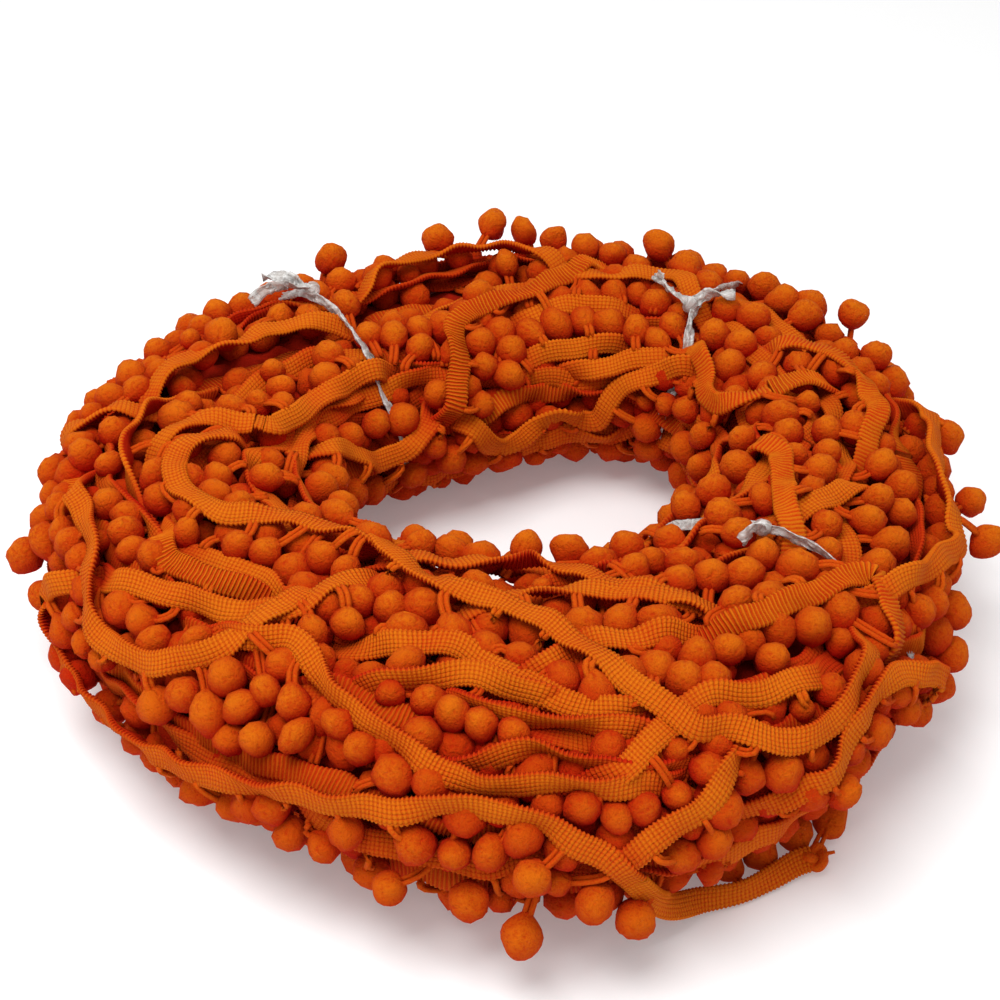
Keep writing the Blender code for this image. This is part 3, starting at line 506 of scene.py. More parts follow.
def near_pairs(p, radius, weight, n, m, strand, place, length, owner):
    """Pairs of points that may touch, without neighbours on one strand or one stalk."""
    square = (p ** 2).sum(1)
    distance2 = square[:, None] + square[None] - 2 * p @ p.T
    reach = radius[:, None] + radius[None] + 0.002
    i, j = np.nonzero(np.triu(distance2 < reach ** 2, 1))
    on_strand = j < n
    same = np.zeros(len(i), bool)
    si, sj = i[on_strand], j[on_strand]
    apart = np.abs(place[si] - place[sj])
    apart = np.minimum(apart, length[strand[si]] - apart)
    same[on_strand] = (strand[si] == strand[sj]) & (apart <= 2)
    ball = (j >= n) & (j < n + m) & (i < n)
    own = np.zeros(len(i), bool)
    own[ball] = np.abs(owner[j[ball] - n] - i[ball]) <= 1
    keep = ~same & ~own & (weight[i] + weight[j] > 0)
    return i[keep], j[keep]

strands, pompoms, size, roots = settle(strands)
print(len(pompoms), "pompoms packed")

# %% [markdown]
# Every new piece is a grid: rows of sections carried along a path. One helper turns such a
# grid into a mesh, with a map that says how far across and how far along each point is.

# %% A grid becomes a mesh
def grid_faces(rows, around, loop, ring):
    """Four-sided faces of a rows x around grid; loop joins last row to first, ring the ends."""
    r = np.arange(rows if loop else rows - 1)
    c = np.arange(around if ring else around - 1)
    low = r[:, None] * around
    high = ((r + 1) % rows)[:, None] * around
    nxt = (c + 1) % around
    quads = np.stack([low + c, low + nxt, high + nxt, high + c], -1)
    return quads.reshape(-1, 4)


def make_piece(name, points, faces, maps=None, values=None):
    """A smooth-shaded mesh from points, equal-sided faces, an across/along map and values."""
    mesh = bpy.data.meshes.new(name)
    points = np.array(points, np.float32)
    points[:, 2] = np.maximum(points[:, 2], 0.0002)
    loops = np.concatenate([np.asarray(f, np.int32).ravel() for f in faces])
    sides = np.concatenate([np.full(len(f), np.asarray(f).shape[1], np.int32) for f in faces])
    mesh.vertices.add(len(points))
    mesh.vertices.foreach_set("co", points.ravel())
    mesh.loops.add(len(loops))
    mesh.loops.foreach_set("vertex_index", loops)
    mesh.polygons.add(len(sides))
    starts = np.concatenate([[0], np.cumsum(sides)[:-1]]).astype(np.int32)
    mesh.polygons.foreach_set("loop_start", starts)
    if maps is not None:
        layer = mesh.uv_layers.new(name="along_braid")
        layer.data.foreach_set("uv", np.asarray(maps, np.float32)[loops].ravel())
    mesh.update(calc_edges=True)
    mesh.validate()
    mesh.polygons.foreach_set("use_smooth", np.ones(len(mesh.polygons), bool))
    for label, data in (values or {}).items():
        data = np.asarray(data, np.float32)
        kind, field = ("FLOAT", "value") if data.ndim == 1 else ("FLOAT_VECTOR", "vector")
        layer = mesh.attributes.new(label, kind, "POINT")
        layer.data.foreach_set(field, data.ravel())
    thing = bpy.data.objects.new(name, mesh)
    bpy.context.scene.collection.objects.link(thing)
    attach(thing, "root")
    triangles = int((sides - 2).sum())
    print(name, triangles, "triangles")
    return thing


shift = np.array([-RING_MIDDLE[0], -RING_MIDDLE[1], 0.0])

# %% [markdown]
# Light that has gone from yarn to yarn comes out redder as well as dimmer, so the gaps of the
# bundle look deep red. That deep red is painted shade in the yarn's colour. How much of its view
# each place has is worked out once, from the strands and pompoms round it, and goes with the mesh
# as a value called open: the less open a place is, the more painted shade it gets.

# %% How open each place is
strand_points = np.vstack([s["points"] for s in strands])
things = np.vstack([strand_points, pompoms])
thing_radius = np.concatenate([np.full(len(strand_points), 0.0034), size])
NEAREST = 22


def openness(centres, ways):
    """exp(-0.9 sum max(0, n.d) r^2/L^2) over the nearest things, for each way n out, times 0.66 +
    0.34 n.z for how much of the room above it faces, so that faces turned down get more painted
    shade."""
    result = np.empty(ways.shape[:2])
    for start in range(0, len(centres), 400):
        block = slice(start, start + 400)
        offset = things[None] - centres[block, None]
        length = np.linalg.norm(offset, axis=2)
        length = np.where(length < 0.0015, 9.0, length)
        near = np.argpartition(length, NEAREST, axis=1)[:, :NEAREST]
        length = np.take_along_axis(length, near, 1)
        offset = np.take_along_axis(offset, near[..., None], 1) / length[..., None]
        facing = np.clip(np.einsum("gkx,gdx->gdk", offset, ways[block]), 0, None)
        hidden = (facing * np.minimum(thing_radius[near] / length, 1.0)[:, None] ** 2).sum(2)
        result[block] = np.exp(-0.9 * hidden) * (0.66 + 0.34 * ways[block, :, 2])
    return result


# %% [markdown]
# The braid is woven flat: 6.4 mm wide and 1.3 mm thick, with a rib across it every 1.1 mm
# and corded edges that scallop at each rib. Going along, the section swells at a rib and
# shrinks in the groove after it. The turns that show get four rows to a rib and ten points
# round, so that their scallops are round. Those near the skin get two rows and eight
# points. The deep ones hardly show, so they are plain bands.

# %% The braid's section carried along a strand
RIB_PITCH = 0.0011
BRAID_THICKNESS = 0.0013
FINE_STEP = RIB_PITCH / 4
PLAIN_STEP = RIB_PITCH / 2
DEEP_STEP = 0.003
FINE = (np.array([-1.0, -0.82, 0.0, 0.82, 1.0]), np.array([0.4, 1.2, 0.85, 1.2, 0.4]))
PLAIN = (np.array([-1.0, -0.80, 0.80, 1.0]), np.array([0.4, 1.1, 1.1, 0.4]))


def smooth_closed(points, passes):
    """Each point moves half way to the middle of its neighbours, passes times, on a loop."""
    for _ in range(passes):
        points = 0.5 * points + 0.25 * (np.roll(points, 1, 0) + np.roll(points, -1, 0))
    return points


def even_path(points, closed, step):
    """The strand's curve at even steps: Catmull-Rom through its packed points."""
    if not closed:
        return smooth_path(points, step)
    points = smooth_closed(points, 1)
    wrapped = np.vstack([points[-2:], points, points[:3]])
    t = np.linspace(0, 1, 12, endpoint=False)[:, None]
    dense = []
    for a, b, c, d in zip(wrapped[:-3], wrapped[1:-2], wrapped[2:-1], wrapped[3:]):
        bend = (2 * a - 5 * b + 4 * c - d) * t ** 2 + (3 * b - a - 3 * c + d) * t ** 3
        dense.append(0.5 * (2 * b + (c - a) * t + bend))
    return resample(np.vstack(dense[1:-1]), step, closed=True)


def braid_tilt(strand, count):
    """How far the braid is rolled on its edge, in radians, along a strand."""
    along = np.linspace(0, 2 * np.pi, count)
    waves = strand["waves"]
    tilt = np.full(count, strand["tilt"])
    for m, size_, phase in waves:
        tilt = tilt + size_ * np.sin(m * along + phase)
    return tilt


for s in strands:
    s["sway"] = rng.uniform(0, 6.28)
    if s["closed"]:
        s["waves"] = [(m, rng.uniform(0.15, 0.55), rng.uniform(0, 6.28)) for m in (3, 6, 11, 17)]
        s["ladder"] = float(rng.uniform() < 0.35)
    else:
        bends = len(s["points"]) * POMPOM_PITCH / 2
        s["waves"] = [(bends / 0.055, 0.30, rng.uniform(0, 6.28)),
                      (bends / 0.024, 0.26, rng.uniform(0, 6.28))]
        s["ladder"] = float(s["name"] in ("back_crossing", "right_rim", "right_back",
                                          "right_top", "right_fold", "left_patch"))


def section_rows(path, across, up, half, top, low, section):
    """Rows round a flat section: its upper points from edge to edge, then its lower ones."""
    places, crown = section
    upper = [path + across * (half * a)[:, None] + up * (top * c)[:, None]
             for a, c in zip(places, crown)]
    under = [path + across * (half * a)[:, None] - up * (low * c)[:, None]
             for a, c in zip(places[::-1], crown)]
    return np.stack(upper + under, 1)


def section_maps(along, section):
    """How far across and how far along, in metres, for each point of the rows."""
    u = np.concatenate([section[0], section[0][::-1]]) * BRAID_WIDTH / 2
    return np.stack(np.broadcast_arrays(u[None, :], along[:, None]), -1)


def end_caps(around, last_row):
    """Four-sided faces that close the first and the last row of a flat section."""
    k = np.arange(around // 2 - 1)
    cap = np.stack([k, k + 1, around - 2 - k, around - 1 - k], 1)
    return [cap, cap[:, ::-1] + last_row * around]


def braid(strand, step, section):
    """Rows of section points: width and thickness swell and shrink by a wave per rib."""
    points = even_path(strand["points"], strand["closed"], step)
    tangent, side, outward = frames(points, strand["closed"])
    tilt = braid_tilt(strand, len(points))[:, None]
    sense = fringe_sense(points, side)[:, None]
    across = sense * side * np.cos(tilt) + outward * np.sin(tilt)
    up = outward * np.cos(tilt) - sense * side * np.sin(tilt)
    along = np.arange(len(points)) * step
    sway = strand["sway"]
    points = points + across * (0.0005 * np.sin(along / 0.0031 + sway))[:, None]
    points = points + outward * (0.0004 * np.sin(along / 0.0023 + 2 * sway))[:, None]
    ribbed = step < RIB_PITCH
    swell = np.cos(2 * np.pi * along / RIB_PITCH) if ribbed else np.zeros(len(points))
    scallop = 0.055 if step <= FINE_STEP else 0.040
    half = BRAID_WIDTH / 2 * (1 + scallop * swell)
    ladder = strand["ladder"]
    top = BRAID_THICKNESS / 2 * (1 + (0.10 + 0.25 * ladder) * swell)
    low = BRAID_THICKNESS / 2 * (1 + (0.35 - 0.25 * ladder) * swell)
    rows = section_rows(points, across, up, half, top, low, section)
    each = len(section[0])
    face = np.concatenate([np.full(each, ladder), np.full(each, 1 - ladder)])
    face = np.broadcast_to(face, (len(points), 2 * each))
    view_out = braid_openness(strand, len(points), section)
    return rows, section_maps(along, section), face, view_out


def braid_openness(strand, count, section):
    """Openness of the section's points, which sets their painted shade: found at the strand's
    packed points, in between by even shares of the way along."""
    _, side, outward = frames(strand["points"], strand["closed"])
    ways = np.stack([outward, (outward + side) * 0.7, (outward - side) * 0.7, -outward], 1)
    found = openness(strand["points"], ways)
    here = np.linspace(0, 1, len(found))
    above, one, two, below = [np.interp(np.linspace(0, 1, count), here, k) for k in found.T]
    middle_points = len(section[0]) - 2
    upper = [one] + [above] * middle_points + [two]
    under = [two] + [below] * middle_points + [one]
    return np.stack(upper + under, 1)


def braid_piece(name, chosen, step, section):
    """All the chosen strands as one piece."""
    points, faces, maps, faces_up, opens, count = [], [], [], [], [], 0
    around = 2 * len(section[0])
    for s in chosen:
        rows, uv, face, view_out = braid(s, step, section)
        faces.append(grid_faces(len(rows), around, s["closed"], True)[:, ::-1] + count)
        if not s["closed"]:
            faces += [cap + count for cap in end_caps(around, len(rows) - 1)]
        points.append(rows.reshape(-1, 3))
        maps.append(uv.reshape(-1, 2))
        faces_up.append(face.ravel())
        opens.append(view_out.ravel())
        count += rows.shape[0] * around
    return make_piece(name, np.vstack(points) + shift, faces, np.vstack(maps),
                      {"ladder": np.concatenate(faces_up), "open": np.concatenate(opens)})


open_strands = [s for s in strands if not s["closed"]]
skin_strands = [s for s in strands if s["name"].startswith("surface")]
deep_strands = [s for s in strands if s["name"].startswith("deep")]
braids = [braid_piece("turns_that_show", open_strands[:18], FINE_STEP, FINE)]
braids.append(braid_piece("more_turns_that_show", open_strands[18:], FINE_STEP, FINE))
braids.append(braid_piece("turns_near_the_skin", skin_strands[:8], PLAIN_STEP, PLAIN))
braids.append(braid_piece("more_turns_near_the_skin", skin_strands[8:], PLAIN_STEP, PLAIN))
braids.append(braid_piece("deep_turns", deep_strands, DEEP_STEP, PLAIN))

# %% [markdown]
# A pompom is chopped yarn felted into a ball, a little longer than it is wide and often
# drawn in towards its stalk. Each is one small grid: a sphere stretched along its stalk,
# with a few slow waves on its radius so that no two are alike. The few that stand out of the
# bundle are seen against the white, so they get a rounder grid than the hundreds of others.

# %% Pompoms
SMALL_GRID = (12, 7)
ROUND_GRID = (20, 11)


def spun_frame(axis):
    """Two directions square to each axis."""
    helper = np.where(np.abs(axis[:, 2:]) < 0.9, [[0, 0, 1.0]], [[1.0, 0, 0]])
    first = np.cross(helper, axis)
    first = first / np.linalg.norm(first, axis=1, keepdims=True)
    return first, np.cross(axis, first)


def balls(middles, radii, axes, grid):
    """Points on stretched spheres, r(t, a) = R (1 + waves - taper), their unit directions, and
    the ways out of them. The first pole is the one at the stalk."""
    count = len(middles)
    around, bands = grid
    t = np.linspace(0, np.pi, bands + 1)[1:-1]
    a = np.arange(around) * 2 * np.pi / around
    t, a = np.meshgrid(t, a, indexing="ij")
    t = np.concatenate([[0.0], t.ravel(), [np.pi]])
    a = np.concatenate([[0.0], a.ravel(), [0.0]])
    unit = np.stack([np.sin(t) * np.cos(a), np.sin(t) * np.sin(a), np.cos(t)], -1)
    waves = np.ones((count, len(t)))
    for k in range(4):
        way = rng.normal(size=(count, 3)) * (1.0 + 0.5 * k)
        waves += 0.042 * np.sin(way @ unit.T * 1.5 + rng.uniform(0, 6.28, (count, 1)))
    fold = np.exp(-(unit[:, 0] / 0.4) ** 2) * np.clip((unit[:, 2] + 0.1) / 0.8, 0, 1)
    waves *= 1 - 0.10 * fold * rng.uniform(0, 1, (count, 1))
    taper = rng.uniform(-0.05, 0.55, (count, 1)) * np.clip(unit[:, 2], 0, 1) ** 1.6
    stretch = rng.uniform(0.92, 1.24, (count, 1))
    squash = rng.uniform(0.84, 1.06, (count, 1, 1))
    first, second = spun_frame(axes)
    ways = (unit[None, :, :1] * first[:, None] * squash + unit[None, :, 1:2] * second[:, None]
            - unit[None, :, 2:] * axes[:, None])
    along = (ways * axes[:, None]).sum(2, keepdims=True) * axes[:, None]
    swell = (waves * radii[:, None])[..., None]
    points = middles[:, None] + swell * (1 - taper[..., None]) * (ways - along)
    points = points + swell * stretch[..., None] * along
    return points, np.broadcast_to(unit, points.shape), ways


def ball_grid(grid):
    """Bands of four-sided faces, with a fan of triangles at each pole."""
    around, bands = grid
    quads = grid_faces(bands - 1, around, False, True) + 1
    k = np.arange(around)
    last = 1 + (bands - 2) * around
    near = np.stack([np.zeros_like(k), 1 + (k + 1) % around, 1 + k], -1)
    far = np.stack([np.full_like(k, last + around), last + k, last + (k + 1) % around], -1)
    return quads, np.vstack([near, far])


def ball_piece(name, middles, radii, axes, grid):
    """All the given balls as one piece. Each has a tint of its own and knows its directions, and
    its lower side is a little less open, so that it gets more painted shade."""
    points, spin, ways = balls(middles, radii, axes, grid)
    quads, fans = ball_grid(grid)
    steps = (np.arange(len(middles)) * points.shape[1])[:, None, None]
    tint = np.repeat(rng.uniform(0, 1, len(middles)), points.shape[1])
    faces = [(quads[None] + steps).reshape(-1, 4), (fans[None] + steps).reshape(-1, 3)]
    opened = openness(middles, ways) * (0.85 + 0.15 * ways[..., 2])
    return make_piece(name, points.reshape(-1, 3) + shift, faces, None,
                      {"tint": tint, "spin": spin.reshape(-1, 3), "open": opened.ravel()})


edge = []
for s in strands:
    index = np.arange(1, len(s["points"]) - (0 if s["closed"] else 1), 2)
    _, side, outward = frames(s["points"], s["closed"])
    tilt = braid_tilt(s, len(s["points"]))[:, None]
    sense = fringe_sense(s["points"], side)[:, None]
    across = sense * side * np.cos(tilt) + outward * np.sin(tilt)
    edge.append((across * s["fringe"])[index])
edge = np.vstack(edge)
stalk_root = roots + edge * (BRAID_WIDTH / 2 - 0.0006)
axis = pompoms - (stalk_root + edge * 0.002)
axis = axis / np.linalg.norm(axis, axis=1, keepdims=True)

# %% [markdown]
# A pompom that lies tight against another turn of the braid is squeezed smaller by it, so
# that it doesn't come out through the weave.

# %% Squeezed pompoms
SEARCH_STEP = 0.0018
OWN_REACH = 0.010
LEAST_RADIUS = 0.0028
STANDING_LIFT = -0.0012


def room_beside():
    """Distance from each pompom to the nearest stretch of braid that it doesn't hang from."""
    runs = np.vstack([even_path(s["points"], s["closed"], SEARCH_STEP) for s in strands])
    nearest = np.full(len(pompoms), 1.0)
    for k in range(len(pompoms)):
        away = np.linalg.norm(runs - pompoms[k], axis=1)
        own = np.linalg.norm(runs - roots[k], axis=1) < OWN_REACH
        nearest[k] = away[~own].min()
    return nearest


squeezed = np.clip(room_beside() - 0.0002, LEAST_RADIUS, None)
print(int((squeezed < size).sum()), "pompoms squeezed")
size_seen = np.minimum(size, squeezed)
_, lift_of_pompom = ring_place(pompoms)
stands_out = lift_of_pompom > STANDING_LIFT
print(int(stands_out.sum()), "pompoms stand out")
felt = [ball_piece("pompoms", pompoms[~stands_out], size_seen[~stands_out], axis[~stands_out],
                   SMALL_GRID),
        ball_piece("pompoms_that_stand_out", pompoms[stands_out], size_seen[stands_out],
                   axis[stands_out], ROUND_GRID)]

# %% [markdown]
# Each pompom hangs by a loop of two thick yarns from the braid's edge. A yarn is a thin tube
# on a short bent path: out of the edge, then over into the ball.

# %% Stalks
YARN_RADIUS = 0.00080
STALK_ROWS = 5
STALK_SIDES = 4


def tube_caps(rows, sides):
    """Flat faces that close a tube's first ring and its last one."""
    ring = np.arange(sides)[None]
    return [ring[:, ::-1], ring + (rows - 1) * sides]


def stalk_points(spread):
    """Tubes round quadratic curves from the braid's edge to the ball, moved by spread."""
    start = stalk_root
    finish = pompoms - axis * (size * 0.55)[:, None]
    bend = start + edge * 0.0032
    t = np.linspace(0, 1, STALK_ROWS)[None, :, None]
    start, bend, finish = start[:, None], bend[:, None], finish[:, None]
    path = (1 - t) ** 2 * start + 2 * t * (1 - t) * bend + t ** 2 * finish
    tangent = np.gradient(path, axis=1)
    tangent = tangent / np.linalg.norm(tangent, axis=2, keepdims=True)
    flat = tangent.reshape(-1, 3)
    one, two = spun_frame(flat)
    one, two = one.reshape(path.shape), two.reshape(path.shape)
    path = path + one * spread
    turn = 2 * np.pi * np.arange(STALK_SIDES) / STALK_SIDES
    ring = [path + YARN_RADIUS * (one * np.cos(q) + two * np.sin(q)) for q in turn]
    return np.stack(ring, 2)


def stalk_piece(name):
    """Two closed tubes to each pompom, side by side."""
    faces, points, count = [], [], 0
    for spread in (-0.0007, 0.0007):
        tubes = stalk_points(spread)
        quads = grid_faces(STALK_ROWS, STALK_SIDES, False, True)
        steps = (np.arange(len(tubes)) * STALK_ROWS * STALK_SIDES)[:, None, None]
        for part in [quads] + tube_caps(STALK_ROWS, STALK_SIDES):
            faces.append((part[None] + steps).reshape(-1, 4) + count)
        points.append(tubes.reshape(-1, 3))
        count += len(points[-1])
    # How open each stalk is sets its painted shade; it is read at its ball's stalk end, looking
    # back along the stalk.
    view_out = 0.45 + 0.5 * openness(pompoms - axis * size[:, None], -axis[:, None])
    view_out = np.tile(np.repeat(view_out.ravel(), STALK_ROWS * STALK_SIDES), 2)
    return make_piece(name, np.vstack(points) + shift, faces, None, {"open": view_out})


stalks = stalk_piece("stalks")

# %% [markdown]
# Between the turns the eye sees into a dark red depth. That is the packed middle of the bundle, a
# lumpy ring that only its darkness shows.

# %% The packed middle
MIDDLE_LIFT = -0.0115


def packed_middle():
    """A ring grid at a lift of about -11.5 mm, roughened by waves in both directions."""
    theta = np.linspace(0, 2 * np.pi, 240, endpoint=False)
    phi = np.linspace(0, 2 * np.pi, 64, endpoint=False)
    th, ph = np.meshgrid(theta, phi, indexing="ij")
    lift = MIDDLE_LIFT + 0.0011 * np.sin(41 * th + 3 * ph) * np.sin(17 * ph)
    return on_ring(th, ph, lift + 0.0009 * np.sin(67 * th))


middle_rows = packed_middle()
middle_rows[..., 2] = np.maximum(middle_rows[..., 2], 0.002)
# The packed middle's dark colour is painted shade for the depth between the turns.
middle = make_piece("packed_middle", middle_rows.reshape(-1, 3) + shift,
                    [grid_faces(240, 64, True, True)[:, ::-1]])

# %% [markdown]
# The ties are strips of thin plastic film, pulled tight and knotted. Each is a closed loop
# round the bundle whose flat section is crumpled, with a knot and two short tails on top.

# %% Ties
FILM_WIDTH = 0.0045
FILM_POINTS = 7


def film_strip(path, closed, width, crumple, twist=0.0):
    """Rows of fourteen points: a flat section whose points rise and fall along the strip."""
    _, side, outward = frames(path, closed)
    along = np.linspace(0, 1, len(path))
    roll = (twist * 2 * np.pi * along)[:, None]
    across = side * np.cos(roll) + outward * np.sin(roll)
    up = outward * np.cos(roll) - side * np.sin(roll)
    places = np.linspace(-1, 1, FILM_POINTS)
    creases = np.stack([np.convolve(rng.normal(size=len(path) + 2), np.ones(3) / 1.7, "valid")
                        for _ in places], 1) * crumple
    narrow = 1 - 0.22 * np.sin(23 * along + 1) ** 2 - 0.12 * np.sin(61 * along) ** 2
    upper = [path + across * (width / 2 * p * narrow)[:, None]
             + up * (creases[:, k] + 0.0002)[:, None] for k, p in enumerate(places)]
    lower = [q - up * 0.0003 for q in upper[::-1]]
    return np.stack(upper + lower, 1)


def tie_piece(name, tie):
    """A film loop, its two tails and a small lump for the knot."""
    loop, _ = tie_rows(tie["loop"], 0.0016)
    strips = [(film_strip(loop, True, FILM_WIDTH * 0.78, 0.00035, 1.0), True)]
    for k, tail in enumerate(tie["tails"]):
        rows = np.array(tail, float)
        route = on_ring(np.radians(rows[:, 0]), np.radians(rows[:, 1]), rows[:, 2] * 0.001)
        path = smooth_path(route, 0.0012)
        strips.append((film_strip(path, False, FILM_WIDTH * 0.95, 0.0005, 0.35 + 0.2 * k), False))
    theta, phi, lift = tie["knot"]
    knot = on_ring(np.radians([theta]), np.radians([phi]), lift * 0.001)
    outward, _ = ring_place(knot)
    points, faces, count = [], [], 0
    around = 2 * FILM_POINTS
    for rows, closed in strips:
        faces.append(grid_faces(len(rows), around, closed, True)[:, ::-1] + count)
        if not closed:
            faces += [cap + count for cap in end_caps(around, len(rows) - 1)]
        points.append(rows.reshape(-1, 3))
        count += len(points[-1])
    lump = balls(knot - outward * 0.001, np.array([0.0024]), outward, SMALL_GRID)[0][0]
    quads, fans = ball_grid(SMALL_GRID)
    faces += [quads + count, fans + count]
    points.append(lump)
    piece = make_piece(name + "_film", np.vstack(points) + shift, faces)
    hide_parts(name)
    return piece


films = [tie_piece(name, tie) for name, tie in TIES.items()]

# %% [markdown]
# The cut end of the trim comes off the outer turn and lies on the table. It is the same
# braid, so it starts as the outer turn ends and then leans over until it almost stands on
# its edge. It is knotted at the end so that it can't fray. Four pompoms hang to it, and four
# more lie beside it, under the bundle.

# %% The loose end
loose_path = smooth_path(LOOSE_ROUTE, FINE_STEP)
outer_turn = next(s for s in strands if s["name"] == "outer_turn")
outer_rows = braid(outer_turn, FINE_STEP, FINE)[0]


def loose_braid():
    """The braid's rows along the loose route. Its place and its width's way start as those of
    the outer turn's last row and go over, by a smooth share w, to the lean on the table."""
    tangent = np.gradient(loose_path, axis=0)
    tangent = tangent / np.linalg.norm(tangent, axis=1, keepdims=True)
    along = np.arange(len(loose_path)) * FINE_STEP
    upright = np.array([0, 0, 1.0]) - tangent * tangent[:, 2:]
    upright = upright / np.linalg.norm(upright, axis=1, keepdims=True)
    level = np.cross(tangent, upright)
    lean = np.radians(58) + 0.25 * np.sin(along / 0.006)[:, None]
    settled = upright * np.sin(lean) - level * np.cos(lean)
    begun = outer_rows[-1, 4] - outer_rows[-1, 0]
    begun = begun / np.linalg.norm(begun)
    if begun @ settled[0] < 0:
        settled = -settled
    w = np.clip(along / 0.030, 0, 1)[:, None]
    w = w * w * (3 - 2 * w)
    across = begun * (1 - w) + settled * w
    across = across - (across * tangent).sum(1, keepdims=True) * tangent
    across = across / np.linalg.norm(across, axis=1, keepdims=True)
    up = np.cross(across, tangent)
    joined = outer_rows[-1].mean(0) - loose_path[0]
    path = loose_path + joined * np.clip(1 - along / 0.012, 0, 1)[:, None] ** 2
    swell = np.cos(2 * np.pi * along / RIB_PITCH)
    half = BRAID_WIDTH / 2 * (1 + 0.055 * swell)
    top = BRAID_THICKNESS / 2 * (1 + 0.10 * swell)
    return section_rows(path, across, up, half, top, top, FINE), section_maps(along, FINE)


loose_rows, loose_maps = loose_braid()
loose_rows[..., 2] = np.maximum(loose_rows[..., 2], 0.0003)
around = loose_rows.shape[1]
loose_faces = [grid_faces(len(loose_rows), around, False, True)[:, ::-1]]
loose_faces += end_caps(around, len(loose_rows) - 1)
face_way = np.cross(loose_rows[0, 1] - loose_rows[0, 0], loose_rows[1, 0] - loose_rows[0, 0])
if face_way @ (loose_rows[0, 1] - loose_rows[0].mean(0)) > 0:
    loose_faces = [f[:, ::-1] for f in loose_faces]
count = loose_rows.shape[0] * around
# The loose end has one open value all along, for an even touch of painted shade.
loose_piece = make_piece("loose_braid", loose_rows.reshape(-1, 3) + shift, loose_faces,
                         loose_maps.reshape(-1, 2),
                         {"ladder": np.zeros(count), "open": np.full(count, 0.85)})
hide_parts("loose_end")


def thin_tube(path, radius, sides, tip=0.55):
    """Rows of a tube that is drawn thin towards its tip."""
    way = np.gradient(path, axis=0)
    way = way / np.linalg.norm(way, axis=1, keepdims=True)
    one, two = spun_frame(way)
    turn = 2 * np.pi * np.arange(sides) / sides
    thin = radius * np.linspace(1.0, tip, len(path))[:, None]
    return np.stack([path + thin * (one * np.cos(q) + two * np.sin(q)) for q in turn], 1)


LOOSE_POMPOMS = np.array([(0.0507, -0.1051, 0.0052), (0.0596, -0.1021, 0.0055),
                          (0.0690, -0.0960, 0.0050), (0.0781, -0.0915, 0.0052)])
UNDER_POMPOMS = np.array([(0.0494, -0.0930, 0.0060), (0.0564, -0.0933, 0.0065),
                          (0.0665, -0.0890, 0.0060), (0.0829, -0.0792, 0.0060)])
extra = np.vstack([LOOSE_POMPOMS, UNDER_POMPOMS])
extra_size = np.array([0.0047, 0.0050, 0.0046, 0.0047, 0.0048, 0.0050, 0.0047, 0.0048])
near = np.array([np.argmin(np.linalg.norm(loose_path - q, axis=1)) for q in LOOSE_POMPOMS])
hung_from = np.vstack([loose_path[near], UNDER_POMPOMS + np.array([-0.004, 0.006, 0.010])])
extra_axis = extra - hung_from
extra_axis = extra_axis / np.linalg.norm(extra_axis, axis=1, keepdims=True)
loose_pompoms = ball_piece("loose_pompoms", extra, extra_size, extra_axis, ROUND_GRID)


def knot_and_stalks(name):
    """The end knot: a lump with a frayed brush of yarns, and the stalks of the loose pompoms."""
    tip, way = loose_path[-1], loose_path[-1] - loose_path[-8]
    way = way / np.linalg.norm(way)
    points, faces, count = [], [], 0
    turn = np.linspace(0, 2 * np.pi, 60, endpoint=False)
    loops = np.stack([np.sin(turn) + 2 * np.sin(2 * turn), np.cos(turn) - 2 * np.cos(2 * turn),
                      -np.sin(3 * turn)], 1) * 0.00098
    ends_closed = np.vstack([loops, loops[:1]])
    tube = thin_tube(ends_closed, 0.00125, 8, 1.0)[:-1]
    one, two = spun_frame(way[None])
    tube = (tip + way * 0.001 + tube[..., :1] * way + tube[..., 1:2] * one[0]
            + tube[..., 2:] * two[0])
    faces.append(grid_faces(60, 8, True, True))
    points.append(tube.reshape(-1, 3))
    count += len(points[-1])
    t = np.linspace(0, 1, 6)[:, None]
    brush = []
    for _ in range(5):
        spray = way + rng.normal(size=3) * np.array([0.35, 0.35, 0.2])
        start = tip + way * 0.0005
        bent = start + spray * 0.0024 * t + np.clip(rng.normal(size=3), -1, 1) * 0.0010 * t ** 2
        bent[:, 2] = np.maximum(bent[:, 2], 0.0008)
        brush.append(thin_tube(bent, 0.0008, 5))
    for root, middle_, toward in zip(hung_from, extra, extra_axis):
        for spread in (-0.0007, 0.0007):
            line = root + (middle_ - root) * t
            one, _ = spun_frame(toward[None])
            brush.append(thin_tube(line + one * spread, YARN_RADIUS, 5))
    for rows in brush:
        faces.append(grid_faces(len(rows), 5, False, True) + count)
        faces += [cap + count for cap in tube_caps(len(rows), 5)]
        points.append(rows.reshape(-1, 3))
        count += len(points[-1])
    # The knot and these stalks have one open value all over, for an even touch of painted shade.
    return make_piece(name, np.vstack(points) + shift, faces, None, {"open": np.full(count, 0.7)})


knot = knot_and_stalks("end_knot")

# %% [markdown]
# Shader maths reads best as plain expressions. This small class wraps a socket, so that a
# sum or a product of two of them adds the Math node that works it out.

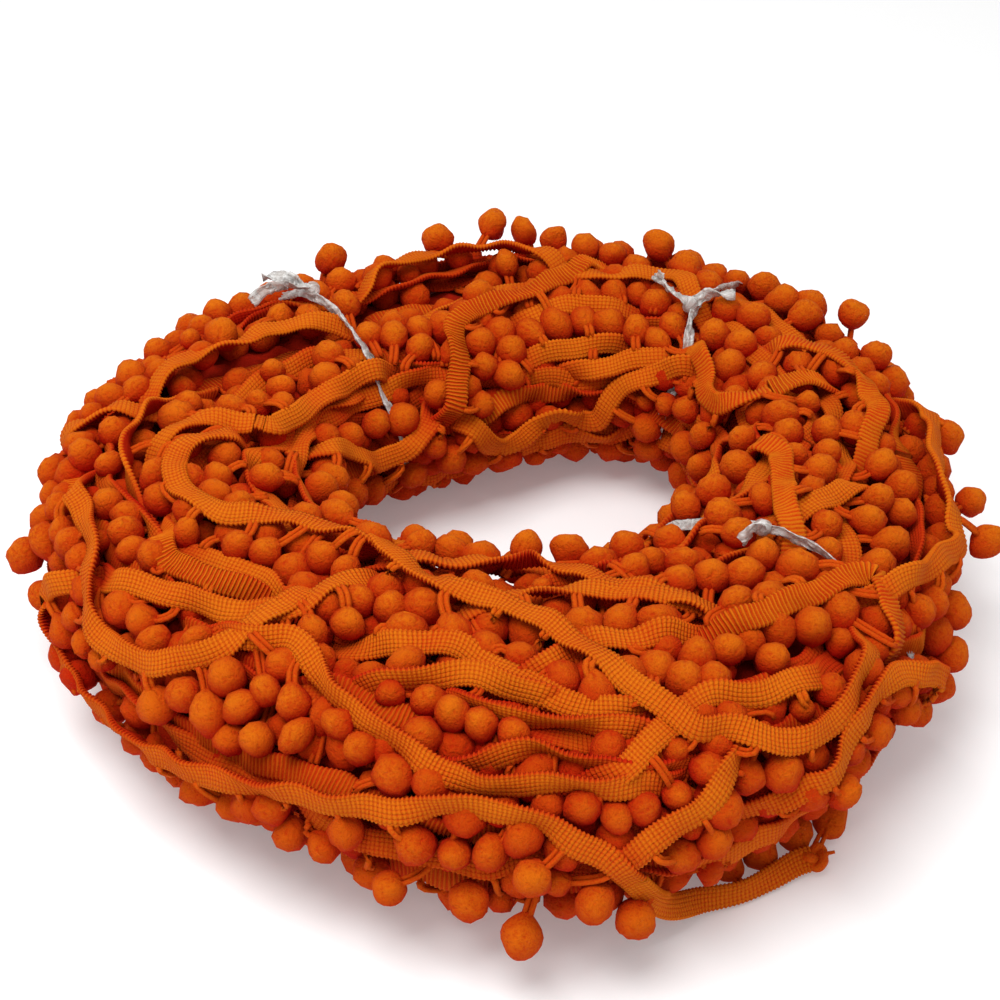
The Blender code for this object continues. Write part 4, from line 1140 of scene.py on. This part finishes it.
# %% Shader expressions
class Value:
    """A socket that can be added, taken away, multiplied and divided."""

    def __init__(self, tree, socket):
        self.tree, self.socket = tree, socket

    def node(self, kind, settings=None, **links):
        """Any node: its settings first, then what goes into its sockets."""
        made = self.tree.nodes.new(kind)
        for key, value in (settings or {}).items():
            setattr(made, key, value)
        for key, value in links.items():
            numbered = key[1:].isdigit()
            socket = made.inputs[int(key[1:]) if numbered else key.replace("_", " ")]
            if isinstance(value, Value):
                self.tree.links.new(value.socket, socket)
            else:
                socket.default_value = value
        return made

    def out(self, made, key=0):
        return Value(self.tree, made.outputs[key])

    def math(self, operation, a, b=0.0, c=0.0):
        return self.out(self.node("ShaderNodeMath", {"operation": operation}, s0=a, s1=b, s2=c))

    def __add__(self, other):
        return self.math("ADD", self, other)

    __radd__ = __add__

    def __sub__(self, other):
        return self.math("SUBTRACT", self, other)

    def __rsub__(self, other):
        return self.math("SUBTRACT", other, self)

    def __mul__(self, other):
        return self.math("MULTIPLY", self, other)

    __rmul__ = __mul__

    def __truediv__(self, other):
        return self.math("DIVIDE", self, other)

    def __pow__(self, other):
        return self.math("POWER", self, other)

    def cos(self):
        return self.math("COSINE", self)

    def clamp(self):
        return self.out(self.node("ShaderNodeClamp", s0=self))

    def mix(self, low, high):
        """A colour between low and high, by this value."""
        made = self.node("ShaderNodeMix", {"data_type": "RGBA"}, s0=self, s6=low, s7=high)
        return self.out(made, 2)


def new_finish(name, roughness):
    """A material with one Principled shader, and its tree as a Value to build from."""
    made = bpy.data.materials.new(name)
    made.use_nodes = True
    shader = made.node_tree.nodes["Principled BSDF"]
    shader.inputs["Roughness"].default_value = roughness
    return made, shader, Value(made.node_tree, None)


def plug(shader, key, value):
    """Links a value to one of the shader's sockets."""
    value.tree.links.new(value.socket, shader.inputs[key])


# Lit and shaded copies of the one orange yarn and felt. The second and the fifth are painted shade
# in grooves and creases, and the darker fibres as well; the third and the last are the painted
# deep red shade of the gaps and of faces turned down.
YARN_LIT = (0.63, 0.143, 0.0038, 1)
YARN_GROOVE_SHADE_AND_DARK_FIBRE = (0.53, 0.028, 0.001, 1)
YARN_PAINTED_SHADE = (0.46, 0.0035, 0.0007, 1)
FELT_LIT = (0.78, 0.166, 0.0038, 1)
FELT_SHADE = (0.58, 0.050, 0.0015, 1)
FELT_PAINTED_SHADE = (0.54, 0.0035, 0.0007, 1)


def painted_gap_shade(tree, colour, least, depth=YARN_PAINTED_SHADE):
    """The colour where the yarn is open to the room, going over to a painted deep red shade in the
    gaps and on faces turned down. least: the openness at which it is wholly that painted shade.
    depth: the painted shade colour."""
    opened = tree.out(tree.node("ShaderNodeAttribute", {"attribute_name": "open"}), "Fac")
    share = ((opened - least) * 1.30).clamp() ** 1.15
    return share.mix(depth, colour)


def quiet_shine(shader):
    """Dry yarn hardly mirrors anything."""
    shader.inputs["Specular IOR Level"].default_value = 0.08

# %% [markdown]
# The braid's right side is a fine waffle: rows of little holes between the ribs. Its wrong side
# shows the ribs alone, like a ladder. Both are waves of the across and along map. The grooves are
# bumped, and also painted darker as painted shade.

# %% Woven yarn
def woven_finish():
    """The woven braid: waffle or ladder grooves, bumped and painted darker as painted shade,
    fibres and slow patches, and painted deep red shade in the gaps.
    """
    made, shader, tree = new_finish("woven_yarn", 0.92)
    quiet_shine(shader)
    uv = tree.node("ShaderNodeUVMap", {"uv_map": "along_braid"})
    parts = tree.node("ShaderNodeSeparateXYZ", s0=tree.out(uv))
    across, along = tree.out(parts, 0), tree.out(parts, 1)
    ladder = tree.out(tree.node("ShaderNodeAttribute", {"attribute_name": "ladder"}), "Fac")
    place = tree.out(tree.node("ShaderNodeTexCoord"), "Object")
    wobble = tree.out(tree.node("ShaderNodeTexNoise", None, Vector=place, Scale=420.0, Detail=2.0))
    fibre = tree.out(tree.node("ShaderNodeTexNoise", None, Vector=place, Scale=2600.0, Detail=3.0))
    patch = tree.out(tree.node("ShaderNodeTexNoise", None, Vector=place, Scale=70.0, Detail=2.0))
    shifted = along + (wobble - 0.5) * 0.0004
    rib = (shifted * (2 * np.pi / RIB_PITCH)).cos() * 0.5 + 0.5
    column = (across * (2 * np.pi / 0.00106)).cos() * 0.5 + 0.5
    inside = 1 - ((tree.math("ABSOLUTE", across) - 0.0026) * 3000.0).clamp()
    waffle = ((1 - rib) ** 3.0) * 0.55 + ((1 - column) ** 3.0) * inside * 0.40
    ladder_cut = ((1 - rib) ** 1.3) * 1.1
    groove = (ladder * ladder_cut + (1 - ladder) * waffle).clamp()
    # The grooves are painted darker here as painted shade; the fibres and patches are the yarn's
    # own tone.
    shade = (0.94 - groove * 0.80 + (fibre - 0.5) * 1.1 + (patch - 0.5) * 0.8).clamp()
    colour = painted_gap_shade(tree, shade.mix(YARN_GROOVE_SHADE_AND_DARK_FIBRE, YARN_LIT), 0.02)
    bump = tree.node("ShaderNodeBump", None, Strength=1.0, Distance=0.00035,
                     Height=fibre * 0.5 - groove)
    plug(shader, "Base Color", colour)
    plug(shader, "Normal", tree.out(bump))
    return made


woven = woven_finish()
for piece in braids + [loose_piece]:
    piece.data.materials.append(woven)

# %% [markdown]
# Felted yarn has no weave. A fine noise gives the fibres and a slower one the soft patches. Every
# pompom has lumps and creases of its own: a noise in the ball's own directions, moved by its tint,
# and on some of them a fold that runs down from the stalk. The fold and the valleys between the
# lumps are bumped, and also painted darker as painted shade.

# %% Felt and stalk yarn
def felt_finish():
    """The felted balls: fibres, tufts, each ball's own lumps and fold, painted shade in the fold
    and between the lumps, and painted deep red shade in the gaps.
    """
    made, shader, tree = new_finish("felted_yarn", 0.95)
    quiet_shine(shader)
    place = tree.out(tree.node("ShaderNodeTexCoord"), "Object")
    fibre = tree.out(tree.node("ShaderNodeTexNoise", None, Vector=place, Scale=1700.0, Detail=4.0,
                               Roughness=0.7))
    patch = tree.out(tree.node("ShaderNodeTexNoise", None, Vector=place, Scale=330.0, Detail=2.0))
    tint = tree.out(tree.node("ShaderNodeAttribute", {"attribute_name": "tint"}), "Fac")
    spin = tree.node("ShaderNodeAttribute", {"attribute_name": "spin"})
    parts = tree.node("ShaderNodeSeparateXYZ", s0=tree.out(spin, "Vector"))
    side, height = tree.out(parts, 0), tree.out(parts, 2)
    own = tree.node("ShaderNodeVectorMath", {"operation": "ADD"}, s0=tree.out(spin, "Vector"),
                    s1=tint * 37.0)
    lumps = tree.out(tree.node("ShaderNodeTexNoise", None, Vector=tree.out(own), Scale=1.5,
                               Detail=3.0, Distortion=1.2))
    tufts = tree.out(tree.node("ShaderNodeTexNoise", None, Vector=place, Scale=760.0, Detail=2.0))
    near_fold = 1 - (tree.math("ABSOLUTE", side + (patch - 0.5) * 0.6) * 5.0).clamp()
    fold = near_fold * (height * 1.6).clamp() * tint
    painted_valley_shade = ((0.46 - lumps) * 7.0).clamp()
    shade = 0.90 + (fibre - 0.5) * 2.3 + (tufts - 0.5) * 1.6 + (tint - 0.5) * 0.3
    # The fold and the valleys between the lumps are painted darker here, as painted shade.
    shade = (shade - fold * 0.45 - painted_valley_shade * 0.30).clamp()
    colour = painted_gap_shade(tree, shade.mix(FELT_SHADE, FELT_LIT), 0.12, FELT_PAINTED_SHADE)
    plug(shader, "Base Color", colour)
    bump = tree.node("ShaderNodeBump", None, Strength=0.9, Distance=0.0009,
                     Height=fibre * 1.1 + tufts * 0.8 + lumps * 1.0 - fold * 0.7)
    plug(shader, "Normal", tree.out(bump))
    return made


felted = felt_finish()
for piece in felt + [loose_pompoms]:
    piece.data.materials.append(felted)


def stalk_finish():
    """The stalks' twisted yarn: fine fibres, and painted deep red shade where it is less open."""
    made, shader, tree = new_finish("stalk_yarn", 0.9)
    quiet_shine(shader)
    place = tree.out(tree.node("ShaderNodeTexCoord"), "Object")
    fibre = tree.out(tree.node("ShaderNodeTexNoise", None, Vector=place, Scale=2200.0, Detail=3.0))
    shade = (0.6 + (fibre - 0.5) * 1.8).clamp()
    plug(shader, "Base Color", painted_gap_shade(tree, shade.mix(YARN_GROOVE_SHADE_AND_DARK_FIBRE, YARN_LIT), 0.10))
    bump = tree.node("ShaderNodeBump", None, Strength=0.6, Distance=0.0004, Height=fibre)
    plug(shader, "Normal", tree.out(bump))
    return made


stalk_yarn = stalk_finish()
for piece in (stalks, knot):
    piece.data.materials.append(stalk_yarn)


def painted_core_shade_finish():
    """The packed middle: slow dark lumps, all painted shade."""
    made, shader, tree = new_finish("packed_yarn_in_painted_shade", 0.95)
    quiet_shine(shader)
    place = tree.out(tree.node("ShaderNodeTexCoord"), "Object")
    lumps = tree.out(tree.node("ShaderNodeTexNoise", None, Vector=place, Scale=240.0, Detail=3.0))
    # Both colours are painted shade: the packed yarn is orange like the rest, and looks dark red
    # only because it lies in shadow between the turns.
    plug(shader, "Base Color", lumps.mix((0.16, 0.003, 0.0008, 1), (0.40, 0.012, 0.001, 1)))
    bump = tree.node("ShaderNodeBump", None, Strength=1.0, Distance=0.002, Height=lumps)
    plug(shader, "Normal", tree.out(bump))
    return made


middle.data.materials.append(painted_core_shade_finish())

# %% [markdown]
# The film is milky and thin: some light goes through it, and where its creases catch the light
# they are painted brighter in small flecks, as painted highlights.

# %% Film
def film_finish():
    """The film: creases painted brighter as painted highlights, and clearer where it lies smooth.
    """
    made, shader, tree = new_finish("milky_film", 0.35)
    place = tree.out(tree.node("ShaderNodeTexCoord"), "Object")
    crease = tree.out(tree.node("ShaderNodeTexNoise", None, Vector=place, Scale=260.0, Detail=4.0,
                                Distortion=2.0))
    painted_crease_glint = ((crease - 0.38) * 3.2).clamp()
    # The creases are painted brighter here as painted highlights, and they let less light through.
    plug(shader, "Base Color", painted_crease_glint.mix((0.50, 0.45, 0.41, 1), (0.80, 0.79, 0.77, 1)))
    plug(shader, "Alpha", (0.55 + painted_crease_glint * 0.40).clamp())
    bump = tree.node("ShaderNodeBump", None, Strength=0.8, Distance=0.0009, Height=crease)
    plug(shader, "Normal", tree.out(bump))
    return made


milky = film_finish()
for piece in films:
    piece.data.materials.append(milky)
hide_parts("hank")

# %% [markdown]
# The picture was taken from the front, looking down at about forty degrees, against white.
# A wide soft light overhead and a pale room give the short shadow round the foot.

# %% Floor, light and camera
def pale_floor():
    """A flat square grid, a few metres wide, just under the hank."""
    side = np.linspace(-3, 3, 3)
    x, y = np.meshgrid(side, side, indexing="ij")
    mesh = bpy.data.meshes.new("floor")
    points = np.stack([x, y, 0 * x - 0.0002], -1).reshape(-1, 3)
    mesh.from_pydata(points.tolist(), [], grid_faces(3, 3, False, False)[:, ::-1].tolist())
    thing = bpy.data.objects.new("floor", mesh)
    bpy.context.scene.collection.objects.link(thing)
    made, shader, tree = new_finish("pale_floor", 0.6)
    shader.inputs["Base Color"].default_value = (0.86, 0.86, 0.86, 1)
    shader.inputs["Emission Color"].default_value = (1, 1, 1, 1)
    shader.inputs["Emission Strength"].default_value = 0.16
    mesh.materials.append(made)


pale_floor()
ELEVATION = np.radians(40.35)
DISTANCE = 0.5461
TARGET = np.array([0.0008, 0.0087, 0.025])

camera_data = bpy.data.cameras.new("camera")
camera_data.lens = 70.09
camera_data.sensor_width = 36
camera_data.shift_x = -0.0084
camera_data.shift_y = 0.0294
camera = bpy.data.objects.new("camera", camera_data)
camera.location = TARGET + DISTANCE * np.array([0, -np.cos(ELEVATION), np.sin(ELEVATION)])
camera.rotation_euler = (np.pi / 2 - ELEVATION, 0, 0)
bpy.context.scene.collection.objects.link(camera)
bpy.context.scene.camera = camera


def soft_light(name, place, aim, width, power):
    """A square area lamp at a place, turned so that it shines at aim."""
    data = bpy.data.lights.new(name, "AREA")
    data.size = width
    data.energy = power
    lamp = bpy.data.objects.new(name, data)
    lamp.location = place
    way = np.array(aim) - np.array(place)
    way = way / np.linalg.norm(way)
    lamp.rotation_euler = (np.arccos(-way[2]), 0, np.arctan2(way[0], -way[1]))
    bpy.context.scene.collection.objects.link(lamp)


soft_light("overhead", (-0.30, -0.25, 1.15), (0, 0, 0), 0.75, 13.5)
world = bpy.data.worlds.new("pale_room")
world.use_nodes = True
world.node_tree.nodes["Background"].inputs["Color"].default_value = (1, 1, 1, 1)
world.node_tree.nodes["Background"].inputs["Strength"].default_value = 0.62
bpy.context.scene.world = world
bpy.context.scene.view_settings.view_transform = "Standard"
print("camera at", np.round(camera.location, 3))
